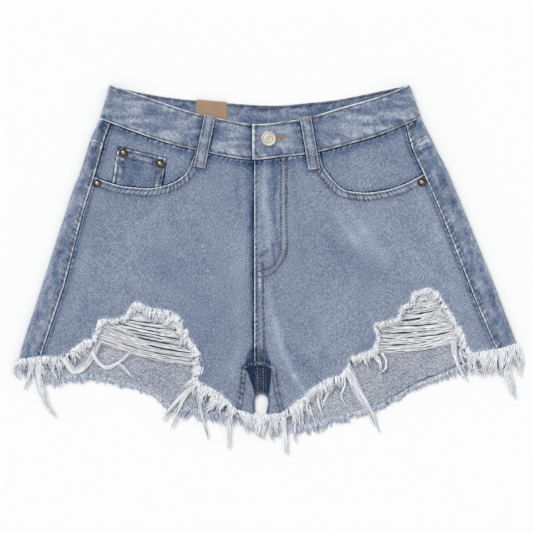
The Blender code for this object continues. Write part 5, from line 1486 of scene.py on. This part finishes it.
# Torn edges of the fronts: how far the yarns hang down, the lowest they reach, rows of x, y and length,
# and long bundles as width and the points x, y they run through
frontFringes = {
    "hem_fringe_left_outer": (
        0.8, 1.7, [(-278, -101.5, 17), (-254, -98.4, 19), (-232, -99, 17), (-226, -96, 14), (-204, -80, 14),
                   (-195.6, -79.2, 10)],
        [(10, -255, -98, -257, -115, -255, -129, -251, -143, -246, -154, -237, -164),
         (4, -265, -102, -266, -115, -269, -125, -274, -135),
         (6, -276, -102, -284, -108, -284, -117, -278, -122),
         (9, -228, -98, -222, -108, -216, -114, -206, -108, -197, -96, -191, -84, -189, -80),
         (7, -219, -90, -213, -87, -206, -84, -197, -82),
         (4, -197, -92, -191, -103, -182, -110, -174, -108, -164, -102, -153, -93),
         (3, -167, -105, -162, -109, -155, -117, -146, -125),
         (5, -241, -100, -241, -112, -238, -121, -235, -133)]),
    "rip_fringe_left": (
        0.5, 3.0, [(-194.6, -78, 8), (-188, -57, 7), (-165, -56, 7), (-157, -51, 7), (-153, -42, 9),
                   (-147, -37, 15), (-132, -44, 17), (-109, -48, 16), (-96, -57, 12), (-98, -66, 9),
                   (-78, -92, 11), (-77, -113.5, 10)],
        [(6, -100, -64, -96, -72, -96, -80, -99, -88), (7, -94, -68, -88, -76, -84, -86, -82, -98),
         (5, -82, -84, -80, -94, -80, -104, -83, -112)]),
    "hem_fringe_left_inner": (
        1.2, 1.7, [(-77.2, -115.6, 12), (-80, -125, 22), (-64, -134, 27), (-53, -140, 26), (-38, -155, 23),
                   (-30, -159.2, 22), (-15, -164, 21)],
        [(9, -77, -108, -80, -122, -90, -137, -104, -150, -118, -170),
         (6, -79, -110, -83, -125, -95, -141, -107, -153, -115, -163),
         (5, -87, -133, -95, -146, -102, -162, -108, -180), (4, -76, -128, -77, -146, -72, -168, -66, -192),
         (6, -43, -153, -43, -168, -43, -185, -44, -201), (5, -17, -165, -15, -173, -12, -181, -12, -187),
         (8, -16, -163, -11, -166, -7, -172, -5, -183), (7, -14, -163, -8, -167, -8, -176, -11, -187)]),
    "hem_fringe_right_inner": (
        1.4, 1.7, [(-2.5, -163.4, 22), (15, -162.2, 22), (25, -156, 23), (36, -147, 24), (44, -142, 24),
                   (46, -137, 22), (68, -123, 15), (81, -120, 14), (90, -110, 12), (92, -104.5, 11)],
        [(5, -2, -166, -4, -173, -5, -181, -6, -190), (8, 0, -163, -6, -166, -10, -172, -13, -182),
         (6, 4, -166, 3, -175, 4, -184, 5, -192), (9, 17, -165, 18, -180, 20, -194, 21, -208),
         (4, 31, -152, 31, -168, 31, -182, 31, -194), (3, 40, -150, 36, -161, 40, -170, 38, -180),
         (3, 52, -135, 46, -146, 49, -159, 54, -173), (3, 67, -127, 69, -137, 64, -146, 62, -154),
         (5, 36, -146, 33, -156, 34, -166, 38, -176), (4, 42, -141, 44, -152, 46, -162, 47, -172),
         (4, 58, -131, 56, -142, 58, -154, 62, -165), (5, 50, -137, 46, -148, 41, -158, 34, -168),
         (3, 62, -128, 66, -138, 64, -150, 68, -160),
         (10, 88, -110, 95, -121, 101, -135, 109, -148, 117, -163, 125, -183),
         (5, 91, -115, 96, -127, 105, -142, 114, -153, 122, -168),
         (3, 86, -117, 87, -129, 83, -139, 85, -148, 92, -155)]),
    "rip_fringe_right": (
        0.5, 3.0, [(94.4, -98.8, 14), (109, -94, 14), (119, -90, 11), (124, -77, 7), (120, -62, 8),
                   (132, -59, 9), (146, -55, 9), (150, -43, 8), (161, -37, 8), (163, -27, 8), (180, -22, 9),
                   (190, -26, 8), (204, -49, 8), (219, -72, 8), (221.8, -86.6, 10)],
        [(7, 120, -92, 123, -99, 127, -106, 126, -114), (4, 128, -93, 133, -102, 132, -111, 124, -117)]),
    "hem_fringe_right_outer": (
        0.8, 1.7, [(222.6, -88.6, 20), (231, -94.2, 26), (257, -90.4, 29), (279, -83.6, 29)],
        [(5, 209, -80, 211, -97, 216, -111, 225, -126), (3, 217, -78, 218, -90, 226, -100, 230, -111),
         (3, 223, -87, 230, -93, 228, -102, 219, -108), (3, 214, -83, 222, -89, 231, -92),
         (3, 216, -93, 222, -98, 231, -101), (3, 220, -82, 216, -92, 219, -103, 227, -110),
         (12, 262, -92, 264, -102, 269, -115, 273, -129, 277, -144),
         (9, 268, -88, 275, -97, 282, -107, 283, -119), (6, 276, -84, 282, -92, 285, -102, 284, -112)]),
}
for number, (name, (pull, lowest, rows, bundles)) in enumerate(frontFringes.items()):
    makeFringe(name, rows, pull, lowest, bundles, 100 + number)

# Worn hems of the backs: looser and finer yarns, and x and length of the yarns there
hemLook = {**fringeLook, "clump": (2.6, 6.0), "threads": (5, 10), "radius": 0.4, "tip": 0.18, "spread": 2.2,
           "stops": 8, "lap": (0.2, 0.8), "curls": 3.2, "curl": (1.0, 3.2), "over": 0.0}
backLengths = [(-245, 16), (-205, 11), (-178, 6), (-165, 9), (-158, 5), (-115, 5), (-84, 15), (60, 12),
               (120, 7), (150, 6), (185, 7), (210, 12), (260, 18)]
for word, side in sides.items():
    hem = side["backHemLine"][::3]
    if side["sign"] > 0:
        hem = hem[::-1]
    reach = np.interp(hem[:, 0], *np.transpose(backLengths))
    makeFringe(f"hem_fringe_back_{word}", np.column_stack([hem, reach]), 0.8, 0.4, (), 120 + side["sign"],
               level=0.9, material=cottonBlue, look=hemLook)

# Weft yarns left across the tears: their left and right ends from the top yarn to the lowest (x, y), how
# far the lowest sags, how many there are, and slits between them as place from the top, start, end, width
weft = {
    "rip_threads_left": {
        "left": [(-153, -44), (-156, -52), (-174, -57), (-189, -60), (-191, -70), (-191, -79)],
        "right": [(-108, -49), (-97, -58), (-97, -67), (-90, -77), (-81, -88), (-77, -108)],
        "sag": 6.0, "yarns": 62, "tone": 0.56,
        "slits": [(0.16, 0.3, 0.75, 1), (0.27, 0.1, 0.8, 1.5), (0.36, 0.2, 0.98, 1.3),
                  (0.45, 0.05, 0.72, 1.5), (0.54, 0.2, 0.95, 1.6), (0.62, 0.3, 0.75, 1.2),
                  (0.7, 0.35, 0.93, 1.6), (0.79, 0.45, 0.97, 1.7), (0.88, 0.3, 0.8, 1.2)]},
    "rip_threads_right": {
        "left": [(165, -26), (161, -38), (152, -43), (148, -52), (145, -58), (124, -62), (123, -73),
                 (126, -93)],
        "right": [(182, -24), (193, -36), (201, -46), (210, -58), (217, -69), (218, -78)],
        "sag": 4.5, "yarns": 60, "tone": 0.7,
        "slits": [(0.16, 0.2, 0.8, 0.9), (0.27, 0.1, 0.6, 1), (0.36, 0.3, 0.9, 1), (0.45, 0, 0.55, 3.2),
                  (0.56, 0.1, 0.5, 1.2), (0.66, 0.15, 0.8, 1.5), (0.75, 0.05, 0.65, 1.3),
                  (0.82, 0.3, 0.9, 1.2), (0.91, 0.1, 0.5, 1)]},
}
weftLook = {"radius": 0.62, "stops": 34, "tuck": 3.0, "level": 2.3, "squeeze": 0.05,
            "waves": ((0.35, (1.0, 3.0)), (0.28, (3.0, 7.0)))}


def makeWeft(name, seed):
    spec = weft[name]
    rng = np.random.default_rng(seed)
    slits = np.array(spec["slits"])
    places = np.concatenate([np.linspace(0.0, 1.0, spec["yarns"]), slits[:, 0]])
    size = (len(places), 1)
    kept = (np.arange(len(places)) < spec["yarns"])[:, None]  # the rest are dark yarns lying low in the slits: blue warp that also paints the shade there
    u = np.linspace(0.0, 1.0, weftLook["stops"])[None]
    left, right = (pointAt(np.array(spec[end], float), places)[:, None] + [turn * weftLook["tuck"], 0.0]
                   for end, turn in (("left", -1), ("right", 1)))
    plan = left + (right - left) * u[..., None]
    plan[:, :, 1] -= spec["sag"] * places[:, None] * 4.0 * u * (1.0 - u)
    for place, start, end, width in slits:
        gone = (places - place)[:, None]
        parted = softStep((u - start) / 0.1) * softStep((end - u) / 0.1)
        parted = parted * softStep(3.2 * softNoise(60 * u, 0 * u + place * 90, 7.0, seed) - 0.3)
        push = 0.75 * width * np.sign(gone) * np.exp(-np.abs(gone) / weftLook["squeeze"])
        plan[:, :, 1] -= push * kept * parted
    phase = rng.uniform(0, fullTurn, (2, *size))
    for wave, turns in weftLook["waves"]:
        plan[:, :, 1] += kept * wave * np.sin(rng.uniform(0, fullTurn, size)
                                              + fullTurn * rng.uniform(*turns, size) * u)
    height = weftLook["level"] + 0.5 * np.sin(phase[1] + 13.0 * u) + 1.0 * np.abs(2 * u - 1) ** 6
    height = np.where(kept, height, weftLook["level"] - 0.55)
    radii = weftLook["radius"] * rng.uniform(0.75, 1.15, size) * (1.0 + 0.14 * np.sin(60 * u + phase[0]))
    tones = spec["tone"] + 0.32 * rng.uniform(-1, 1, size) + 0.12 * rng.uniform(-1, 1, radii.shape)
    # the dark yarns low in the slits paint the shade there
    yarnPiece(name, [(raised(plan, height), radii, np.where(kept, tones, -0.1))], cottonWeft, 4)


for number, name in enumerate(weft):
    makeWeft(name, 140 + number)
print("fringes and weft yarns made")


# Sewing: one stitch is modelled and copied along every row, into one mesh a piece
def threadMaterial(name, stops):
    # Cotton-wrapped polyester topstitching thread, two-ply: a soft low gloss with a fine twist.
    made, tree, shader = newMaterial(name, {"Roughness": 0.65, "Sheen Weight": 0.1,
                                            "Specular IOR Level": 0.35})
    # The twist repeats every 0.5 mm, too fine to show, so its light and dark are drawn 1 mm long.
    twist = noiseAt(tree, placeIn(tree), 1000.0, 2.0, 0.6)
    finishMaterial(tree, shader, twist, stops, twist, 0.3, 0.0003)
    return made


topstitch = threadMaterial("Topstitching thread, faded tan",
                           [(0.3, "554F4C"), (0.5, "7C736B"), (0.7, "AAA196")])
tackThread = threadMaterial("Bar tack thread, warm tan", [(0.3, "8A6C43"), (0.5, "AD8A5A"), (0.7, "CDB084")])


def modelStitch(length, width, height):
    bpy.ops.object.select_all(action="DESELECT")
    bpy.ops.mesh.primitive_uv_sphere_add(segments=6, ring_count=4, radius=0.5 * mm, location=(0, 0, 0))
    stitch = bpy.context.object
    bpy.ops.object.mode_set(mode="EDIT")
    bpy.ops.mesh.select_all(action="SELECT")
    bpy.ops.transform.rotate(value=math.pi / 2, orient_axis="Y", center_override=(0, 0, 0))
    bpy.ops.transform.resize(value=(length, width, height), center_override=(0, 0, 0))
    bpy.ops.object.mode_set(mode="OBJECT")
    points = np.array([v.co for v in stitch.data.vertices]) / mm
    faces = [tuple(face.vertices) for face in stitch.data.polygons]
    bpy.data.objects.remove(stitch, do_unlink=True)
    return points, faces


stitchLook = {"length": 3.0, "width": 1.15, "height": 0.9, "pitch": 3.1, "rise": 0.2}
oneStitch = modelStitch(stitchLook["length"], stitchLook["width"], stitchLook["height"])
oneTack = modelStitch(2.2, 0.62, 0.6)


def besideLine(line, offset):  # the line moved to its left by offset, its corners a little rounded
    line = evenLine(evenLine(line, 1.5), 1.0)
    return line + normalsOf(line) * offset


def rowOfStitches(line, heightOf, start=0.0, end=0.0, keep=None):  # their middles and the ways they lie
    run = lineRun(line)
    length = run[-1] - start - end
    count = max(1, int(length / stitchLook["pitch"]))
    middle = start + (np.arange(count) + 0.5) * length / count
    half = stitchLook["length"] * 0.4
    ends = [np.stack([np.interp(middle + shift, run, line[:, i]) for i in (0, 1)], axis=-1)
            for shift in (-half, half)]
    if keep is not None:
        chosen = keep((ends[0] + ends[1]) / 2.0)
        ends = [e[chosen] for e in ends]
    ends = [raised(e, heightOf(e[:, 0], e[:, 1]) + stitchLook["rise"]) for e in ends]
    return (ends[0] + ends[1]) / 2.0, ends[1] - ends[0]


def sewPiece(name, rows, material=topstitch, model=oneStitch):  # copies of a stitch joined into one mesh
    points, faces = model
    places, ways = (np.concatenate([row[i] for row in rows]) for i in (0, 1))
    ways = ways / np.linalg.norm(ways, axis=1, keepdims=True)
    across = np.cross(up, ways)
    across /= np.linalg.norm(across, axis=1, keepdims=True)
    axes = (ways, across, np.cross(ways, across))
    made = places[:, None] + sum(axis[:, None] * points[None, :, i:i + 1] for i, axis in enumerate(axes))
    every = [tuple(v + i * len(points) for v in face) for i in range(len(places)) for face in faces]
    meshPiece(name, made.reshape(-1, 3), every, [material], smooth=60)


def frontTop(side):
    return lambda x, y: frontMarks(side, x, y)["height"]


def sewFront(side, word):
    sign = side["sign"]
    heightOf = frontTop(side)
    rows = [rowOfStitches(besideLine(side["pocketLine"], sign * offset), heightOf, 2.0, 2.5 + 0.4 * offset)
            for offset in seamKinds["pocketHem"]["rows"]]
    ends = (-23.4, centre["front"] - 0.6) if sign < 0 else (centre["front"] + 0.8, 2.6)
    xs = np.linspace(*ends, 8)
    cross = np.stack([xs, yAt(crossSeam, xs) + centre["crossRow"]], axis=-1)
    rows.append(rowOfStitches(cross, heightOf, 0.3, 0.3))
    rows += [rowOfStitches(besideLine(side["inseamLine"], sign * offset), heightOf, 1.0, 3.0)
             for offset in side["inseamRows"]]
    if sign > 0:
        rows += [rowOfStitches(evenLine(smoothLine(row), 1.5), heightOf, 3.0, 1.0) for row in fly.values()]
    sewPiece(f"topstitching_front_{word}", rows)


def sewBack(side, word):
    sign = side["sign"]
    strip = lambda x, y: stripMarks(side, x, y)["height"]
    rows = [rowOfStitches(besideLine(side["seamLine"], sign * 3.0), strip, 2.0, 4.0)]
    xs = np.linspace(float(xAt(side["seamLine"], side["yokeSeam"])) + sign * 1.5,
                     float(xAt(side["foldLine"], side["yokeFold"])) - sign * 2.5, 12)
    for offset in yokeRows:
        level = side["yokeSeam"] - offset + belowYoke(side, xs, side["yokeSeam"])
        rows.append(rowOfStitches(np.stack([xs, level], axis=-1), strip))
    rows += [rowOfStitches(evenLine([(x, float(yAt(crossSeam, x)) - 2.0), (x, -139.5)], 2.0), frontHeight)
             for x in seatRows if sign * (x - centre["back"]) > 0]
    sewPiece(f"topstitching_back_{word}", rows)


def sewCoinPocket():
    heightOf = lambda x, y: coinMarks(x, y)["height"]
    (x0, y0), (x1, y1) = coinPocket["top"]
    ends = [((x0 + 1.5, y0 - offset - 0.3),
            (x1 - 1.5, y1 - offset + 0.3)) for offset in coinPocket["topRows"]]
    for offset in coinPocket["sideRows"]:
        for (xTop, yTop), xFoot, way in zip(coinPocket["top"], coinPocket["foot"], (1, -1)):
            ends.append(((xTop + way * offset, yTop - 3.0),
                         (xFoot + way * offset, float(yAt(leftSide["pocketLine"], xFoot)) + 2.2)))
    sewPiece("topstitching_coin_pocket", [rowOfStitches(evenLine(line, 2.0), heightOf) for line in ends])


def bandTop(x, y):
    over = layers["bandOver"] + (layers["bandTop"] - layers["bandOver"]) * softStep((x - 24.0) / 12.0)
    under = layers["bandTop"] + (layers["bandUnder"] - layers["bandTop"]) * softStep((x + 27.0) / 11.0)
    return np.where(x < band["endX"], under, over) - 0.12 + 0 * y


def bandInside(x, y):
    return layers["band"] - 0.1 + 0 * (x + y)


def sewWaistband():
    clear = lambda p: np.min([np.abs(loopOffset(word, p[:, 0], p[:, 1])) for word in sides],
                             axis=0) > loops["width"] / 2.0 + 0.6
    shown = lambda p: (p[:, 1] > yAt(lines["frontTop"], p[:, 0]) + 1.0) & (
        (p[:, 0] < patch["sides"][0] - 0.6) | (p[:, 0] > patch["sides"][1] + 0.6))
    endX = band["endX"] + band["endRow"]
    rows = []
    for key, turn in (("frontTop", -1), ("frontFoot", 1)):
        row = besideLine(lines[key], turn * band["row"])
        rows += [rowOfStitches(row[row[:, 0] < band["endX"] - 1.0], bandTop, 1.5, 1.0, clear),
                 rowOfStitches(row[row[:, 0] > endX], bandTop, 0.5, 1.5, clear)]
    down = [(endX, float(yAt(lines[key], endX)) + inset)
            for key, inset in (("frontTop", -3.0), ("frontFoot", 3.0))]
    rows.append(rowOfStitches(evenLine(down, 2.0), bandTop))
    rows.append(rowOfStitches(besideLine(lines["backTop"], -band["innerRow"]), bandInside, keep=shown))
    sewPiece("topstitching_waistband", rows)


def tackRow(ends, heightOf, lift, step=0.62):  # satin stitches packed side by side along a line
    line = evenLine(ends, 0.5)
    run = lineRun(line)
    middle = np.arange(step / 2, run[-1], step)
    place, way = (np.stack([np.interp(middle, run, part) for part in parts], axis=-1)
                  for parts in (line.T, [np.gradient(part) for part in line.T]))
    across = np.column_stack([-way[:, 1], way[:, 0], 0.0 * middle])
    return raised(place, heightOf(place[:, 0], place[:, 1]) + lift), across


def sewLoops():
    edge, end, half = loops["width"] / 2.0 - loops["row"], loops["tackIn"], loops["tackHalf"]
    for word in sides:
        top, foot, _, along, side = loopFrame(word)
        upper, lower = top + along * end, foot - along * end
        rows = [evenLine([upper + side * offset, lower + side * offset], 1.5) for offset in (-edge, edge)]
        sewPiece(f"topstitching_loop_{word}",
                 [rowOfStitches(row, lambda x, y: loopLevel(x, y) - 0.1) for row in rows])
        sewPiece(f"bar_tacks_loop_{word}", [tackRow([p - side * half, p + side * half], loopLevel, -0.2)
                                            for p in (upper, lower)], tackThread, oneTack)


# Satin stitches: the line they cover, length, width and height of a stitch, what they lie on, how high
# above it, and their thread
tacks = {
    "bar_tack_fly": ([(-12.0, 7.6), (-5.7, 7.9)], (1.5, 0.6, 0.6), frontTop(rightSide), 0.2, topstitch),
    "bar_tack_back_waist": ([(-10.6, 181.2), (2.8, 181.0)], (2.0, 0.62, 0.7), bandInside, 0.6, topstitch),
    "buttonhole_stitching": ([(9.5, 149.4), (12.6, 149.0), (15.0, 147.6), (22.4, 149.2), (15.2, 145.9),
                              (12.6, 143.9), (9.5, 143.6)], (1.9, 0.62, 0.7), bandTop, 0.25, tackThread),
}
for word, side in sides.items():
    sewFront(side, word)
    sewBack(side, word)
sewCoinPocket()
sewWaistband()
sewLoops()
for name, (line, size, heightOf, lift, thread) in tacks.items():
    sewPiece(name, [tackRow(line, heightOf, lift)], thread, modelStitch(*size))
print("sewing made")


# Metal finishes
def metalMaterial(name, stops, roughness, grain):
    # Plated or blackened metal: a fine grain breaks up the shine, and the finish is duller where it wore.
    made, tree, shader = newMaterial(name, {"Metallic": 1.0})
    cloud = noiseAt(tree, placeIn(tree), grain, 4.0)
    finishMaterial(tree, shader, cloud, stops, cloud, 0.15, 0.0002)
    rough = addNode(tree, "ShaderNodeMapRange", {"To Min": roughness - 0.08, "To Max": roughness + 0.12},
                    {"Value": cloud})
    tree.links.new(rough.outputs[0], shader.inputs["Roughness"])
    return made


# the rubbed brass of a rivet's crown is worn metal and also a painted highlight
nickel, brass, rubbedHighlightBrass = (metalMaterial(*values) for values in (
    ("Brushed pale nickel", [(0.3, "BFBAB2"), (0.5, "CFCAC2"), (0.75, "DDD8D1")], 0.55, 700.0),
    ("Antique brass, darkened", [(0.3, "2B2620"), (0.5, "4A4237"), (0.75, "7C705A")], 0.4, 700.0),
    ("Antique brass, rubbed bright, painted highlight", [(0.3, "8F887B"), (0.5, "BDB6A8"), (0.75, "E2DDD2")], 0.3, 900.0)))


# Metal trims: turned from a disc by extruding and resizing its face ring by ring
button = {"place": (1.3, 146.3), "base": 7.75, "replaced": "waist_button",
          # radius and height of each ring, from the foot up
          "rings": [(8.2, 0.0), (8.5, 0.3), (8.55, 0.9), (8.45, 1.4), (8.1, 1.85), (7.6, 2.08), (7.0, 2.05),
                    (6.5, 1.85), (6.1, 1.72), (5.5, 1.7), (4.6, 1.72), (4.3, 1.86), (4.0, 2.0), (3.5, 2.05),
                    (3.2, 1.95), (3.0, 1.84), (2.2, 1.84), (1.2, 1.9), (0.3, 1.94)]}
rivet = {"rings": [(4.6, 0.0), (4.75, 0.2), (4.75, 0.5), (4.5, 0.78), (4.0, 0.9), (3.5, 0.88), (3.1, 0.72),
                   (2.8, 0.55), (2.5, 0.6), (2.25, 0.95), (1.9, 1.25), (1.4, 1.45), (0.8, 1.56),
                   (0.2, 1.6)],
         "places": {"rivet_side_left": (-190.6, 96.7, 0.0), "rivet_side_right": (172.6, 98.0, 0.0),
                    "rivet_coin_outer": (-161.5, 131.1, 0.3), "rivet_coin_inner": (-120.4, 119.0, 0.3)}}


def turnTrim(name, place, base, rings, segments, material, replaced, bright=None):
    x, y = place
    bpy.ops.object.select_all(action="DESELECT")
    bpy.ops.mesh.primitive_circle_add(vertices=segments, radius=rings[0][0] * mm, fill_type="NGON",
                                      location=(x * mm, y * mm, base * mm))
    trim = bpy.context.object
    trim.name = name
    bpy.ops.object.transform_apply(location=True, rotation=True, scale=True)
    bpy.ops.object.mode_set(mode="EDIT")
    bpy.ops.mesh.select_mode(type="FACE")
    bpy.ops.mesh.select_all(action="SELECT")
    for (before, low), (radius, high) in zip(rings, rings[1:]):
        bpy.ops.mesh.extrude_region_move(TRANSFORM_OT_translate={"value": (0, 0, (high - low) * mm)})
        share = radius / before
        bpy.ops.transform.resize(value=(share, share, 1.0),
                                 center_override=(x * mm, y * mm, (base + high) * mm))
    bpy.ops.mesh.select_all(action="SELECT")
    bpy.ops.mesh.normals_make_consistent(inside=False)
    bpy.ops.object.mode_set(mode="OBJECT")
    bpy.ops.object.shade_smooth_by_angle(angle=math.radians(50))
    trim.data.materials.append(material)
    if bright:  # the crown is rubbed bright, and its lighter brass also paints the highlight there
        trim.data.materials.append(bright[0])
        for face in trim.data.polygons:
            out = math.hypot(face.center[0] / mm - x, face.center[1] / mm - y)
            face.material_index = int(out < bright[1] and face.normal[2] > 0)
    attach(trim, "root")
    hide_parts(replaced)


turnTrim("waist_button_turned", button["place"], button["base"], button["rings"], 64, nickel,
         button["replaced"])
for name, (x, y, drop) in rivet["places"].items():
    turnTrim(name + "_turned", (x, y), float(frontHeight(x, y)) - drop + layers["rest"], rivet["rings"], 36,
             brass, name, (rubbedHighlightBrass, 1.9))
print("metal trims made")


# Floor, light and camera: suns as where they stand, how soft (degrees) and how strong
studio = {"floor": 6.0, "drop": 0.0004, "board": 0.92, "sky": 0.7,
          "suns": {"key": ((-0.75, 0.9, 1.0), 25.0, 1.55), "fill": ((1.0, -0.7, 1.2), 60.0, 0.2)},
          "camera": (-1.12 * mm, 3.53 * mm, 1.658 + 5.0 * mm), "lens": 100.0}


def makeStudio():
    bpy.ops.object.select_all(action="DESELECT")
    bpy.ops.mesh.primitive_plane_add(size=studio["floor"], location=(0, 0, -studio["drop"]))
    floor = bpy.context.object
    floor.name = "floor"
    # Matt painted board, white and without a shine.
    floor.data.materials.append(newMaterial("Matt white board", {
        "Base Color": (*[studio["board"]] * 3, 1.0), "Roughness": 0.9, "Specular IOR Level": 0.1})[0])
    world = bpy.data.worlds.new("Studio")
    bpy.context.scene.world = world
    world.use_nodes = True
    back = world.node_tree.nodes["Background"]
    back.inputs["Color"].default_value = (1.0, 1.0, 1.0, 1.0)
    back.inputs["Strength"].default_value = studio["sky"]
    for name, (place, softness, power) in studio["suns"].items():
        bpy.ops.object.light_add(type="SUN", location=place)
        light = bpy.context.object
        light.name = name
        light.data.angle = math.radians(softness)
        light.data.energy = power
        way = -np.array(place) / np.linalg.norm(place)
        light.rotation_euler = (math.acos(-way[2]), 0.0, math.atan2(way[1], way[0]) - math.pi / 2)
    camera = bpy.data.objects.new("camera", bpy.data.cameras.new("camera"))
    bpy.context.scene.collection.objects.link(camera)
    camera.data.lens = studio["lens"]
    camera.data.sensor_width = 36.0
    camera.location = studio["camera"]
    camera.data.clip_end = 20.0
    bpy.context.scene.camera = camera
    bpy.context.scene.view_settings.view_transform = "Standard"


makeStudio()
print("studio made")
